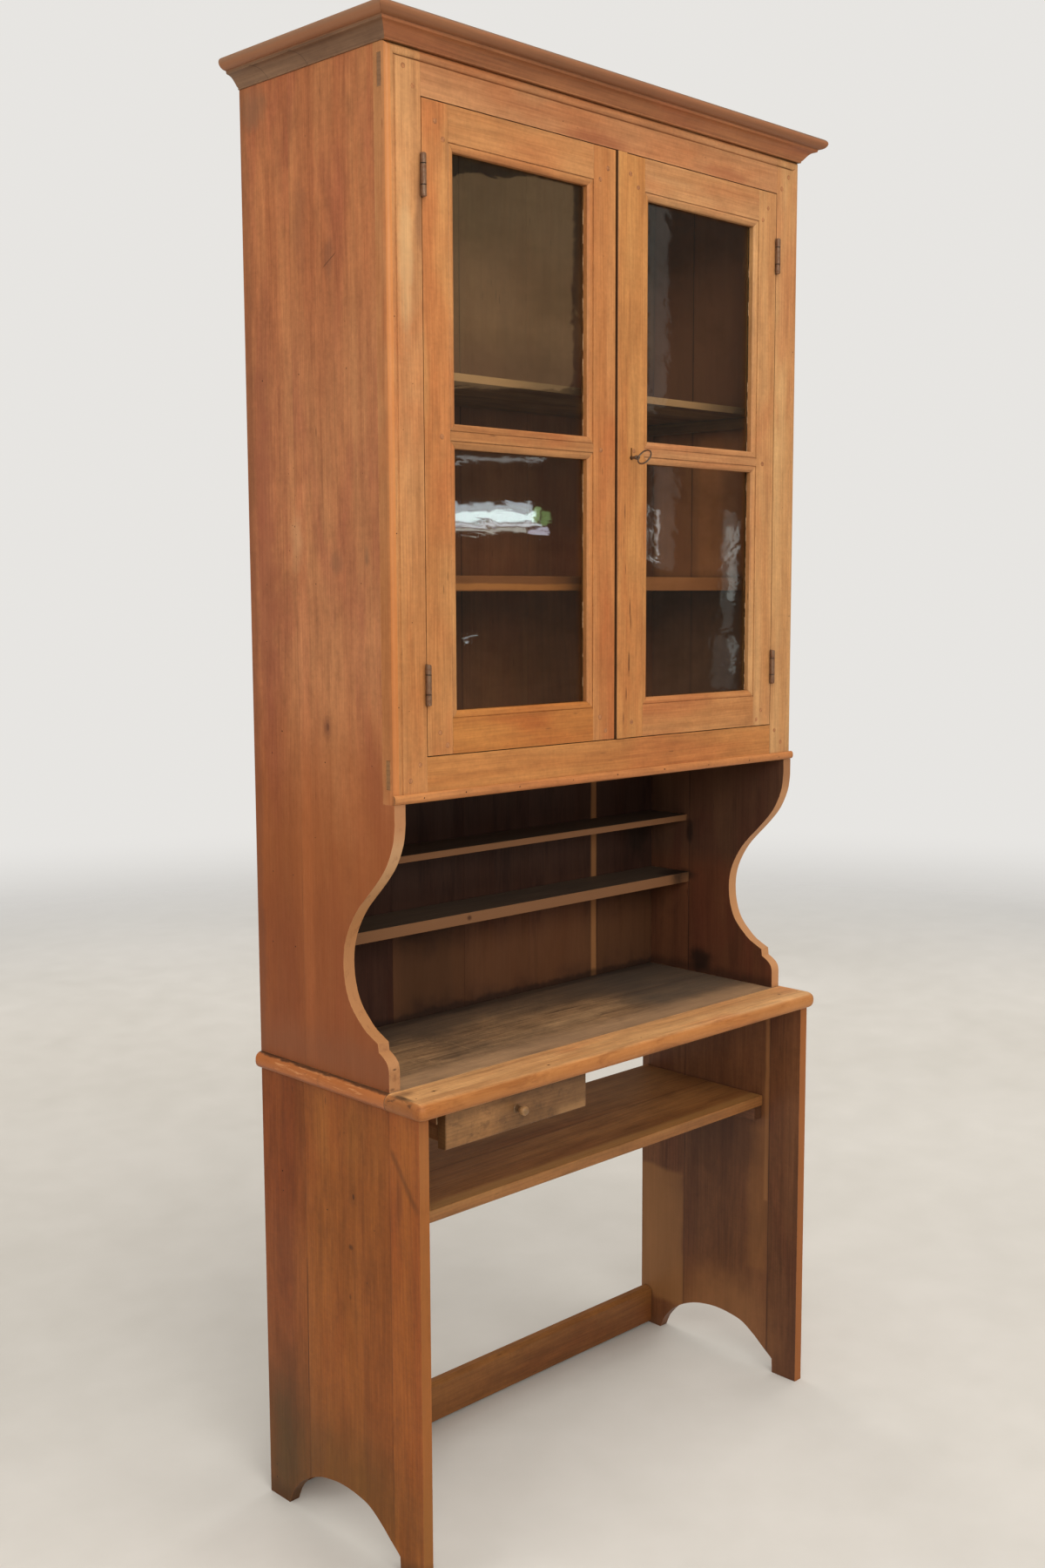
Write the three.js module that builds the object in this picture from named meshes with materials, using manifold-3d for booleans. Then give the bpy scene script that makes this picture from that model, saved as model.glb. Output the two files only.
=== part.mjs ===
// Step back cupboard: glazed two-door upper case with a moulded cornice, an open niche with scrolled
// sides below it, a deeper base with a desk-like top, one side-hung drawer, an open shelf and arched feet.
// Millimetres, +Z up, front facing -Y. The origin is on the floor, at the centre of the whole footprint.
// Inside the `cupboard` group, y = 0 is the front face of the upper face frame.
import * as THREE from 'three';
import { mergeVertices } from 'three/addons/utils/BufferGeometryUtils.js';
import Module from 'manifold-3d';

// ------------------------------------------------------------------ driving dimensions
const HALF_W = 457.5;          // half the width of both cases
const BACK_Y = 341.5;          // plane of the back
const UPPER_T = 20;            // thickness of the upper sides
const BASE_T = 18;             // thickness of the base sides
const DESK_BOTTOM = 713.5;
const DESK_TOP = 740;
const DESK_FRONT = -61.5;      // tip of the front nosing
const DESK_SIDE = 469;         // tip of the side nosings
const DESK_JOINT = 18;         // joint between the front and the rear desk board
const FRAME_T = 25;            // face frame thickness
const FRAME_BOTTOM = 1163.5;
const CASE_TOP = 2222;         // top of the sides and the face frame
const TOP_BOARD_TOP = 2240;
const CORNICE_BOTTOM = 2201.5;
const STILE_X = 396;           // inner edge of the frame stiles
const RAIL_TOP_Z = 2140.5;     // lower edge of the top rail
const RAIL_BOTTOM_Z = 1228;    // upper edge of the bottom rail
const BEAD = 16;               // width of the corner bead
const BACK_T = 15.5;           // back boards
const BACK_FRONT = 320;        // front face of the back boards
const REBATE = 10;             // depth of the rebate that holds the back boards
const DADO = 6;                // depth of the shelf housings
const DOOR_T = 26;
const DOOR_BOTTOM = 1229.5;
const DOOR_TOP = 2139;
const GLASS_Y = 12.3;
const GLASS_T = 2.5;
const LIGHT_UPPER = [1691.4, 2088.5];   // edges of the rails' flats round the upper pane
const LIGHT_LOWER = [1281, 1678.8];
const LEFT_DOOR = [-394.5, -346.7, -54.5, -5.5];   // outer edge, flat edge, flat edge, outer edge
const RIGHT_DOOR = [-3.5, 61.5, 348, 394.5];
const HINGE_X = 395.25;        // hinge axis, in front of the face
const HINGE_Y = -4.4;
const HINGE_R = 4.1;
const HINGE_Z = [1302, 2006];  // lower ends of the barrels
const HINGE_H = 59;
const SHELF_FRONT = 60;        // front edge of the shelves in the cabinet
const KEY_X = 32.3;
const KEY_Z = 1675.2;
const KEY_TILT = THREE.MathUtils.degToRad(31);
const FIT = 0.3;               // clearance in housings and mortises
const MITRE = 0.15;            // half the joint line of a mitre
const DRAWER_X = [-391, -96];  // drawer front
const DRAWER_Z = [648, 710];
const DRAWER_BOX_X = [-383, -104];
const DRAWER_FACE = -27;
const DRAWER_BACK = 270;

// ------------------------------------------------------------------ colours
const paint = (color, roughness = 0.55, metalness = 0) => new THREE.MeshStandardMaterial({ color, roughness, metalness });
const GOLDEN = 0xc48a52, RED = 0xa5663f, CORNICE = 0x96603c, INSIDE = 0x5f4028, DESK = 0x6b5138, DESK_EDGE = 0xb9834f;
const BASE = 0x8a5a36, SHELF = 0x7a5232, DRAWER = 0x8f7050, IRON = 0x2b2724, STEEL = 0x77726a;

const wasm = await Module();
wasm.setup();

// ------------------------------------------------------------------ helpers
function bare(geometry) {
  const g = geometry.clone();
  g.deleteAttribute('normal');
  g.deleteAttribute('uv');
  g.clearGroups();
  return mergeVertices(g, 1e-4);
}

function toSolid(geometry) {
  const g = bare(geometry);
  const vertProperties = Float32Array.from(g.attributes.position.array);
  const triVerts = Uint32Array.from(g.index.array);
  let volume = 0;
  const v = (i) => new THREE.Vector3(vertProperties[3 * i], vertProperties[3 * i + 1], vertProperties[3 * i + 2]);
  for (let i = 0; i < triVerts.length; i += 3) volume += v(triVerts[i]).dot(v(triVerts[i + 1]).cross(v(triVerts[i + 2])));
  if (volume < 0) {
    for (let i = 0; i < triVerts.length; i += 3) [triVerts[i + 1], triVerts[i + 2]] = [triVerts[i + 2], triVerts[i + 1]];
  }
  return new wasm.Manifold(new wasm.Mesh({ numProp: 3, vertProperties, triVerts }));
}

function toGeometry(solid) {
  const mesh = solid.getMesh();
  const g = new THREE.BufferGeometry();
  g.setAttribute('position', new THREE.BufferAttribute(Float32Array.from(mesh.vertProperties), 3));
  g.setIndex(new THREE.BufferAttribute(Uint32Array.from(mesh.triVerts), 1));
  g.computeVertexNormals();
  return g;
}

// A box between exact planes.
function box(x0, x1, y0, y1, z0, z1) {
  const g = new THREE.BoxGeometry(1, 1, 1);
  const p = g.attributes.position;
  for (let i = 0; i < p.count; i += 1) {
    p.setXYZ(i, p.getX(i) < 0 ? x0 : x1, p.getY(i) < 0 ? y0 : y1, p.getZ(i) < 0 ? z0 : z1);
  }
  return toSolid(g);
}

// A section (points or a Shape) run from one end to the other; place(a, b, end) gives each corner's position.
function run(section, place, curveSegments = 2) {
  const shape = section instanceof THREE.Shape ? section : new THREE.Shape(section.map(([a, b]) => new THREE.Vector2(a, b)));
  const g = new THREE.ExtrudeGeometry(shape, { depth: 1, bevelEnabled: false, curveSegments });
  const p = g.attributes.position;
  for (let i = 0; i < p.count; i += 1) {
    const [x, y, z] = place(p.getX(i), p.getY(i), p.getZ(i) > 0.5);
    p.setXYZ(i, x, y, z);
  }
  return toSolid(g);
}

const alongX = (section, x0, x1, segments) => run(section, (y, z, end) => [end ? x1 : x0, y, z], segments);

function lathe(profile, segments = 16) {
  return new THREE.LatheGeometry(profile.map(([r, h]) => new THREE.Vector2(r, h)), segments);
}

// A turned piece on a vertical axis.
function turnedZ(profile, x, y, segments) {
  const g = lathe(profile, segments);
  g.rotateX(Math.PI / 2);
  g.translate(x, y, 0);
  return toSolid(g);
}

// A turned piece on an axis along y; heights in the profile are y values.
function turnedY(profile, x, z, segments) {
  const g = lathe(profile, segments);
  g.translate(x, 0, z);
  return toSolid(g);
}

const joined = (...solids) => solids.reduce((a, b) => a.add(b));
const cut = (solid, ...tools) => tools.reduce((a, b) => a.subtract(b), solid);

const cupboard = new THREE.Group();
cupboard.position.y = -(BACK_Y + DESK_FRONT) / 2;
const leftDoor = new THREE.Group();
const rightDoor = new THREE.Group();
const drawer = new THREE.Group();
cupboard.add(leftDoor, rightDoor, drawer);

function part(group, name, solid, color, roughness, metalness) {
  const mesh = new THREE.Mesh(toGeometry(solid), paint(color, roughness, metalness));
  mesh.name = name;
  group.add(mesh);
}

// ------------------------------------------------------------------ upper case: sides
function scrollShape() {
  const s = new THREE.Shape();
  s.moveTo(FRAME_T, CASE_TOP);
  s.lineTo(FRAME_T, FRAME_BOTTOM);
  s.lineTo(0, FRAME_BOTTOM);
  s.lineTo(0, 1135);
  s.splineThru([[3, 1112], [10, 1092], [22, 1070], [39, 1050], [58, 1031], [76, 1014], [92, 997], [106, 977],
    [117, 955], [122.5, 935], [124, 915], [122, 892], [115, 868], [104, 850], [90, 836], [73, 822], [45, 808.5]]
    .map(([y, z]) => new THREE.Vector2(y, z)));
  s.lineTo(43.5, 796);
  s.splineThru([[34, 791], [26, 785], [21.5, 778], [20, 770]].map(([y, z]) => new THREE.Vector2(y, z)));
  s.lineTo(20, DESK_TOP);
  s.lineTo(BACK_Y, DESK_TOP);
  s.lineTo(BACK_Y, CASE_TOP);
  s.closePath();
  return s;
}

// Fixed shelves: name, bottom, top, front edge, colour.
const SHELVES = [
  ['niche_shelf_lower', 912.5, 931, 223.5, INSIDE],
  ['niche_shelf_upper', 1030, 1041, 230, INSIDE],
  ['cabinet_floor', 1206, 1226, FRAME_T + FIT, INSIDE],
  ['cabinet_shelf_lower', 1465, 1488, SHELF_FRONT, INSIDE],
  ['cabinet_shelf_upper', 1772, 1784, SHELF_FRONT, INSIDE],
];
const INNER = HALF_W - UPPER_T;

for (const [name, sign, color] of [['side_panel_left', -1, RED], ['side_panel_right', 1, RED]]) {
  const xs = [sign * INNER, sign * HALF_W].sort((a, b) => a - b);
  let side = alongX(scrollShape(), xs[0], xs[1], 2);
  const rebate = [sign * (INNER - 1), sign * (INNER + REBATE)].sort((a, b) => a - b);
  side = side.subtract(box(rebate[0], rebate[1], BACK_FRONT - FIT, BACK_Y + 1, DESK_TOP - 1, CASE_TOP + 1));
  const dado = [sign * (INNER - 1), sign * (INNER + DADO + FIT)].sort((a, b) => a - b);
  for (const [, z0, z1, y0] of SHELVES) {
    side = side.subtract(box(dado[0], dado[1], y0 - FIT, BACK_FRONT, z0 - FIT, z1 + FIT));
  }
  part(cupboard, name, side, color);
}
for (const [name, z0, z1, y0, color] of SHELVES) {
  const x = INNER + DADO;
  part(cupboard, name, box(-x, x, y0, BACK_FRONT - FIT, z0, z1), color);
}
part(cupboard, 'top_board', box(-HALF_W, HALF_W, 0, BACK_Y, CASE_TOP, TOP_BOARD_TOP), INSIDE);

const BACK_X = HALF_W - UPPER_T + REBATE - FIT;
for (const [name, x0, x1] of [['back_board_left', -BACK_X, -207.15], ['back_board_centre', -206.85, 107.85], ['back_board_right', 108.15, BACK_X]]) {
  part(cupboard, name, box(x0, x1, BACK_FRONT, BACK_FRONT + BACK_T, DESK_TOP, CASE_TOP), INSIDE);
}

// ------------------------------------------------------------------ face frame
// Quirk bead: a groove as deep as given, then a round as wide as BEAD; s runs from the groove to the outer edge.
const quirk = (deep) => [[-1.2, 0], [-0.4, deep], [1, deep], [1.7, deep * 0.65], [3.2, deep * 0.29], [5.4, deep * 0.07], [8, 0], [10.6, 0.35],
  [13, 1.9], [14.8, 4.2]];
const QUIRK_UPRIGHT = quirk(1.5), QUIRK_HEAD = quirk(3.6);

const tenonTop = [2143, 2187];
const tenonBottom = [1185, 1226.5];
for (const [name, sign] of [['frame_stile_left', -1], ['frame_stile_right', 1]]) {
  const corner = HALF_W - BEAD;
  const beadTop = CORNICE_BOTTOM - BEAD;
  const upright = [[STILE_X, FRAME_T], [STILE_X, 0], ...QUIRK_UPRIGHT.map(([s, d]) => [corner + s, d]), [HALF_W, 8], [HALF_W, FRAME_T]];
  const head = [[beadTop - 30, FRAME_T], [beadTop - 30, 0], ...QUIRK_HEAD.map(([s, d]) => [beadTop + s, d]), [CORNICE_BOTTOM, 6], [CORNICE_BOTTOM, 0],
    [CASE_TOP, 0], [CASE_TOP, FRAME_T]];
  const top = (x) => beadTop + Math.max(x - corner, -1.2);
  let stile = joined(
    run(upright, (x, y, end) => [sign * x, y, end ? top(x) : FRAME_BOTTOM]),
    run(head, (z, y, end) => [sign * (end ? corner + THREE.MathUtils.clamp(z - beadTop, -1.2, BEAD) : STILE_X), y, z]),
  );
  const wall = [sign * (STILE_X - 1), sign * (HALF_W + 1)].sort((a, b) => a - b);
  for (const [z0, z1] of [tenonTop, tenonBottom]) {
    stile = stile.subtract(box(wall[0], wall[1], 8.5 - FIT, 17 + FIT, z0 - FIT, z1 + FIT));
  }
  const leaf = [sign * (STILE_X - 1), sign * 397.6].sort((a, b) => a - b);
  for (const z of HINGE_Z) stile = stile.subtract(box(leaf[0], leaf[1], -1, 22.5, z - FIT, z + HINGE_H + FIT));
  part(cupboard, name, stile, GOLDEN);
}
{
  const beadTop = CORNICE_BOTTOM - BEAD;
  const section = [[RAIL_TOP_Z, FRAME_T], [RAIL_TOP_Z, 0], ...QUIRK_HEAD.map(([s, d]) => [beadTop + s, d]), [CORNICE_BOTTOM, 6], [CORNICE_BOTTOM, 0],
    [CASE_TOP, 0], [CASE_TOP, FRAME_T]];
  part(cupboard, 'frame_rail_top', joined(
    run(section, (z, y, end) => [end ? STILE_X - MITRE : -STILE_X + MITRE, y, z]),
    box(-HALF_W, HALF_W, 8.5, 17, tenonTop[0], tenonTop[1]),
  ), GOLDEN);
  part(cupboard, 'frame_rail_bottom', joined(
    box(-STILE_X + MITRE, STILE_X - MITRE, 0, FRAME_T, FRAME_BOTTOM, RAIL_BOTTOM_Z),
    box(-HALF_W, HALF_W, 8.5, 17, tenonBottom[0], tenonBottom[1]),
  ), GOLDEN);
  const round = [];
  for (let i = 0; i <= 10; i += 1) {
    const a = (Math.PI * i) / 10;
    round.push([-4.8 * Math.sin(a), FRAME_BOTTOM + 7.2 - 6.8 * Math.cos(a)]);
  }
  part(cupboard, 'frame_bead_bottom', alongX(round, -459, 459), GOLDEN);
}

// ------------------------------------------------------------------ cornice
// p is the projection from the case, h the height above the cornice's lower edge.
const CROWN = [[0, 0], [2, 0], [2, 2.4], [4.2, 4.4], [5.8, 6.6], [8, 9.5], [10.6, 12.7], [13.6, 15.4], [17, 17.2], [21.5, 18.2], [22.2, 20],
  [22.8, 22.4], [25.6, 22.5], [28.6, 23.4], [31.6, 25.4], [34.2, 28.6], [35.2, 31.8], [34.8, 34.6], [33.4, 37], [31, 38.8], [27.6, 39.8], [0, 39.8]];
part(cupboard, 'cornice_front', run(CROWN, (p, h, end) => [(end ? 1 : -1) * (HALF_W + p - MITRE), -p, CORNICE_BOTTOM + h]), CORNICE);
for (const [name, sign] of [['cornice_left', -1], ['cornice_right', 1]]) {
  part(cupboard, name, run(CROWN, (p, h, end) => [sign * (HALF_W + p), end ? BACK_Y : -p + MITRE, CORNICE_BOTTOM + h]), CORNICE);
}

// ------------------------------------------------------------------ desk boards, with a bullnose on the front and the sides
{
  const nose = 11.5;
  const r = 7;
  const x = DESK_SIDE - nose;
  const y0 = DESK_FRONT + nose;
  const y1 = BACK_Y + 40;
  const s = new THREE.Shape();
  s.moveTo(-x + r, y0);
  s.lineTo(x - r, y0);
  s.absarc(x - r, y0 + r, r, -Math.PI / 2, 0, false);
  s.lineTo(x, y1);
  s.lineTo(-x, y1);
  s.lineTo(-x, y0 + r);
  s.absarc(-x + r, y0 + r, r, Math.PI, 1.5 * Math.PI, false);
  const half = (DESK_TOP - DESK_BOTTOM) / 2;
  const g = new THREE.ExtrudeGeometry(s, { depth: 4, bevelEnabled: true, bevelSize: nose, bevelThickness: half - 2, bevelSegments: 5, curveSegments: 4 });
  const p = g.attributes.position;
  for (let i = 0; i < p.count; i += 1) {
    let z = p.getZ(i) + DESK_BOTTOM + half - 2;
    if (Math.abs(z - DESK_BOTTOM) < 0.01) z = DESK_BOTTOM;
    if (Math.abs(z - DESK_TOP) < 0.01) z = DESK_TOP;
    p.setZ(i, z);
  }
  const desk = toSolid(g);
  part(cupboard, 'desk_front_board', desk.intersect(box(-600, 600, -200, DESK_JOINT - MITRE, 600, 800)), DESK_EDGE);
  part(cupboard, 'desk_top_board', desk.intersect(box(-600, 600, DESK_JOINT + MITRE, BACK_Y, 600, 800)), DESK);
}

// ------------------------------------------------------------------ base
const BASE_FRONT = -46;
const BASE_INNER = HALF_W - BASE_T;
function baseSideShape() {
  const s = new THREE.Shape();
  s.moveTo(BASE_FRONT, 0);
  s.lineTo(8, 0);
  s.lineTo(9, 26);
  s.splineThru([[12, 29], [20, 35], [33, 44.5], [48, 56.5], [68, 70], [85, 78.5], [106, 83], [135, 86], [163, 85], [194, 79.5], [215, 72.5],
    [234, 63.5], [252, 52], [263, 42.5], [278, 25], [284, 14], [290, 0]].map(([y, z]) => new THREE.Vector2(y, z)));
  s.lineTo(BACK_Y, 0);
  s.lineTo(BACK_Y, DESK_BOTTOM);
  s.lineTo(BASE_FRONT, DESK_BOTTOM);
  s.closePath();
  return s;
}
part(cupboard, 'base_side_left', alongX(baseSideShape(), -HALF_W, -BASE_INNER, 2), BASE);
part(cupboard, 'base_side_right', alongX(baseSideShape(), BASE_INNER, HALF_W, 2), BASE);
part(cupboard, 'base_shelf', box(-BASE_INNER, BASE_INNER, 38, 330, 513, 532), SHELF);
part(cupboard, 'shelf_cleat_left', box(-BASE_INNER, -BASE_INNER + 20, 42, 325, 487, 513), BASE);
part(cupboard, 'shelf_cleat_right', box(BASE_INNER - 20, BASE_INNER, 42, 325, 487, 513), BASE);
part(cupboard, 'base_stretcher', alongX([[314, 5.5], [334, 5.5], [334, 75.5], [322, 75.5], [314, 69.5]], -BASE_INNER, BASE_INNER), BASE);

// ------------------------------------------------------------------ drawer and its runners
const TONGUE = [692, 700];
{
  const [a, b] = DRAWER_BOX_X;
  part(cupboard, 'drawer_runner_left', joined(
    box(a - 10, a - 1, -8, BACK_Y - 40, 683.5, DESK_BOTTOM),
    box(a - 2, a + 5, -4, 262, TONGUE[0], TONGUE[1]),
  ), BASE);
  part(cupboard, 'drawer_runner_right', joined(
    box(b + 1, b + 10, -8, BACK_Y - 40, 683.5, DESK_BOTTOM),
    box(b - 5, b + 2, -4, 262, TONGUE[0], TONGUE[1]),
  ), BASE);

  const front = -9;     // back of the drawer front
  const side = 12;      // thickness of the box sides
  const z0 = 655;
  const z1 = 706;
  const floor = [659, 665];
  const knobX = -248.5;
  const knobZ = 680;
  // Front with a small ovolo round its face.
  const [fx0, fx1] = DRAWER_X;
  const [fz0, fz1] = DRAWER_Z;
  const inset = [[0, front], [0, DRAWER_FACE + 3.4], [0.5, DRAWER_FACE + 1.6], [1.7, DRAWER_FACE + 0.45], [3.4, DRAWER_FACE]];
  const ring = inset.map(([i, y]) => [[fx0 + i, y, fz0 + i], [fx1 - i, y, fz0 + i], [fx1 - i, y, fz1 - i], [fx0 + i, y, fz1 - i]]);
  const points = ring.flat();
  const faces = [];
  for (let k = 0; k + 1 < ring.length; k += 1) {
    for (let i = 0; i < 4; i += 1) {
      const j = (i + 1) % 4;
      faces.push(4 * k + i, 4 * k + j, 4 * k + 4 + j, 4 * k + i, 4 * k + 4 + j, 4 * k + 4 + i);
    }
  }
  const last = 4 * (ring.length - 1);
  faces.push(0, 2, 1, 0, 3, 2, last, last + 1, last + 2, last, last + 2, last + 3);
  const g = new THREE.BufferGeometry();
  g.setAttribute('position', new THREE.BufferAttribute(Float32Array.from(points.flat()), 3));
  g.setIndex(faces);
  const plug = turnedY([[0, DRAWER_FACE - 1], [4.1, DRAWER_FACE - 1], [4.1, front + 1], [0, front + 1]], knobX, knobZ, 16);
  part(drawer, 'drawer_front', cut(toSolid(g), box(a + side - 6, b - side + 6, front - 5.3, front + 1, floor[0] - FIT, floor[1] + FIT), plug), DRAWER);

  for (const [name, x0, x1, out] of [['drawer_side_left', a, a + side, a], ['drawer_side_right', b - side, b, b]]) {
    const inward = out === a ? 1 : -1;
    const groove = [out - inward, out + inward * 6.5].sort((p, q) => p - q);
    const slot = [out + inward * (side - 6 - FIT), out + inward * (side + 1)].sort((p, q) => p - q);
    part(drawer, name, cut(box(x0, x1, front, DRAWER_BACK, z0, z1),
      box(groove[0], groove[1], front - 1, DRAWER_BACK + 1, TONGUE[0] - 0.6, TONGUE[1] + 0.6),
      box(slot[0], slot[1], front - 1, DRAWER_BACK + 1, floor[0] - FIT, floor[1] + FIT)), SHELF);
  }
  part(drawer, 'drawer_back', box(a + side, b - side, DRAWER_BACK - side, DRAWER_BACK, floor[1] + FIT, 701), SHELF);
  part(drawer, 'drawer_bottom', box(a + side - 5.7, b - side + 5.7, front - 5, DRAWER_BACK, floor[0], floor[1]), SHELF);
  const ball = [];
  const centre = -43.2;
  const r = 7.7;
  for (let i = 0; i <= 12; i += 1) {
    const t = Math.PI * (i / 12) * 0.83;
    ball.push([Math.max(r * Math.sin(t), 0), centre - r * Math.cos(t)]);
  }
  part(drawer, 'drawer_knob', turnedY([...ball, [3.9, -34.6], [4.2, -31.5], [5.6, -28.6], [7, DRAWER_FACE - 0.2], [3.8, DRAWER_FACE - 0.2], [3.8, front - 1], [0, front - 1]],
    knobX, knobZ, 20), BASE);
}

// ------------------------------------------------------------------ doors
// Moulding round each pane: t runs from the flat towards the pane, the second value is the depth from the face.
const MOULD = [[-2, 3], [-0.01, 1.5], [0.9, 1.5], [1.6, 0.8], [3.4, 0.55], [5.6, 0.75], [7.8, 1.45], [9.6, 2.4], [11, 3.9], [11, 12], [-2, 12]];
const TENON = [9, 18];
function door(group, prefix, [xa, fa, fb, xb], hinge, color, extra = {}) {
  const lights = [LIGHT_UPPER, LIGHT_LOWER];
  const tenons = [[LIGHT_UPPER[1] + 8, DOOR_TOP - 8], [LIGHT_LOWER[1] + 1.5, LIGHT_UPPER[0] - 1.5], [DOOR_BOTTOM + 8, LIGHT_LOWER[0] - 8]];
  const stile = (x0, x1, edge, dir) => {
    let s = box(x0, x1, 0, DOOR_T, DOOR_BOTTOM, DOOR_TOP);
    for (const [z0, z1] of lights) s = s.add(run(MOULD, (t, y, end) => [edge + dir * t, y, end ? z1 - t - MITRE : z0 + t + MITRE]));
    const m = [edge - dir * 38.3, edge + dir * 0.5].sort((p, q) => p - q);
    for (const [z0, z1] of tenons) s = s.subtract(box(m[0], m[1], TENON[0] - FIT, TENON[1] + FIT, z0 - FIT, z1 + FIT));
    return s;
  };
  const recess = (s, outer, dir) => {
    const x = [outer - dir, outer + dir * 1.6].sort((p, q) => p - q);
    return HINGE_Z.reduce((q, z) => q.subtract(box(x[0], x[1], -1, 22.5, z - FIT, z + HINGE_H + FIT)), s);
  };
  let a = stile(xa, fa, fa, 1);
  let b = stile(fb, xb, fb, -1);
  if (hinge < 0) a = recess(a, xa, 1); else b = recess(b, xb, -1);
  if (extra.meeting) a = extra.meeting(a);
  part(group, `${prefix}_${hinge < 0 ? 'stile_hinge' : 'stile_meeting'}`, a, color);
  part(group, `${prefix}_${hinge < 0 ? 'stile_meeting' : 'stile_hinge'}`, b, color);

  const rail = (z0, z1, upper, lower, tenon) => {
    let s = box(fa + MITRE, fb - MITRE, 0, DOOR_T, z0, z1);
    const strip = (edge, dir) => run(MOULD, (t, y, end) => {
      const i = Math.max(t, 0) + MITRE;
      return [end ? fb - i : fa + i, y, edge + dir * t];
    });
    if (upper) s = s.add(strip(z1, 1));
    if (lower) s = s.add(strip(z0, -1));
    return s.add(box(fa - 38, fb + 38, TENON[0], TENON[1], tenon[0], tenon[1]));
  };
  part(group, `${prefix}_rail_top`, rail(LIGHT_UPPER[1], DOOR_TOP, false, true, tenons[0]), color);
  part(group, `${prefix}_rail_middle`, rail(LIGHT_LOWER[1], LIGHT_UPPER[0], true, true, tenons[1]), color);
  part(group, `${prefix}_rail_bottom`, rail(DOOR_BOTTOM, LIGHT_LOWER[0], true, false, tenons[2]), color);
  for (const [name, [z0, z1]] of [['glass_upper', LIGHT_UPPER], ['glass_lower', LIGHT_LOWER]]) {
    part(group, `${prefix}_${name}`, box(fa + 0.6, fb - 0.6, GLASS_Y, GLASS_Y + GLASS_T, z0 + 0.6, z1 - 0.6), 0xb9c4be, 0.05);
  }
}
door(leftDoor, 'left_door', LEFT_DOOR, -1, GOLDEN);
door(rightDoor, 'right_door', RIGHT_DOOR, 1, GOLDEN, {
  meeting: (s) => cut(
    s.add(run([[-3.4, 1], [-3.4, -2.4], [-2.4, -3.5], [16.6, -3.5], [18.6, -1.6], [18.8, 1]],
      (x, y, end) => [x, y, end ? DOOR_TOP : DOOR_BOTTOM])),
    turnedY([[0, -10], [3.7, -10], [3.7, DOOR_T + 5], [0, DOOR_T + 5]], KEY_X, KEY_Z, 16),
    box(KEY_X - 1.8, KEY_X + 1.8, -10, DOOR_T + 5, KEY_Z, 1690.5),
  ),
});

// ------------------------------------------------------------------ hinges: end knuckles and pin on the frame, middle knuckle on the door
for (const [side, sign, group] of [['left', -1, leftDoor], ['right', 1, rightDoor]]) {
  for (const [level, z] of [['lower', HINGE_Z[0]], ['upper', HINGE_Z[1]]]) {
    const x = sign * HINGE_X;
    const low = z + 16;    // joints between the knuckles
    const high = z + 44.5;
    const top = z + HINGE_H;
    const pair = (p, q) => [sign * p, sign * q].sort((u, v) => u - v);
    const fx = pair(396.1, 397.3);
    part(cupboard, `hinge_${side}_${level}_frame_half`, joined(
      turnedZ([[0, z], [2.9, z], [HINGE_R, z + 1.3], [HINGE_R, low - 0.2], [1.8, low - 0.2], [1.8, high + 0.2], [HINGE_R, high + 0.2], [HINGE_R, top - 1.3], [2.9, top], [0, top]], x, HINGE_Y, 16),
      box(fx[0], fx[1], HINGE_Y, 1.5, z + 1.5, low - 0.2),
      box(fx[0], fx[1], HINGE_Y, 1.5, high + 0.2, top - 1.5),
      box(fx[0], fx[1], 0.5, 22, z, top),
    ), IRON, 0.6, 0.8);
    const dx = pair(393.2, 394.4);
    const knuckle = turnedZ([[2.2, low + 0.2], [HINGE_R, low + 0.2], [HINGE_R, high - 0.2], [2.2, high - 0.2], [2.2, low + 0.2]], x, HINGE_Y, 16);
    part(group, `hinge_${side}_${level}_door_half`, joined(
      knuckle,
      cut(box(dx[0], dx[1], HINGE_Y, 1.5, low + 0.2, high - 0.2),
        turnedZ([[0, z - 5], [2.2, z - 5], [2.2, top + 5], [0, top + 5]], x, HINGE_Y, 16)),
      box(dx[0], dx[1], 0.5, 22, z, top),
    ), IRON, 0.6, 0.8);
  }
}

// ------------------------------------------------------------------ lock, bolt and key, on the right door
part(rightDoor, 'lock_case', cut(
  box(-2, 46, DOOR_T, 38, 1650, 1710),
  box(-0.5, 44.5, DOOR_T - 1, 36.5, 1651.5, 1708.5),
  box(-3, 0, 27.2, 33.3, 1687.7, 1700.3),
), IRON, 0.6, 0.8);
part(rightDoor, 'lock_bolt', cut(box(-1.6, 36, 27.5, 33, 1688, 1700), box(9, 17, 27, 34, 1687, 1690.5)), STEEL, 0.4, 0.9);
{
  const shank = turnedY([[0, -16.5], [2.4, -16.5], [2.4, -12.5], [3.5, -12], [3.5, -9.6], [2.4, -9], [2.4, 34.4], [1.9, 35], [0, 35]], 0, 0, 12);
  const bow = new THREE.TorusGeometry(12.65, 1.4, 8, 24);   // ring in the plane of the shank
  bow.rotateY(Math.PI / 2);
  bow.translate(0, -28, 0);
  let key = joined(shank, toSolid(bow), box(-0.9, 0.9, 28, 32.6, 1, 8.8), box(-0.8, 0.8, -16.6, -13, -4, 4));
  const g = toGeometry(key);
  g.rotateY(KEY_TILT);
  g.translate(KEY_X, 0, KEY_Z);
  part(rightDoor, 'key', toSolid(g), STEEL, 0.35, 0.9);
}

const root = new THREE.Group();
root.add(cupboard);
export default root;
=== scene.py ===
import math
import random

import bmesh
import bpy
from mathutils import Matrix, Vector


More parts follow.
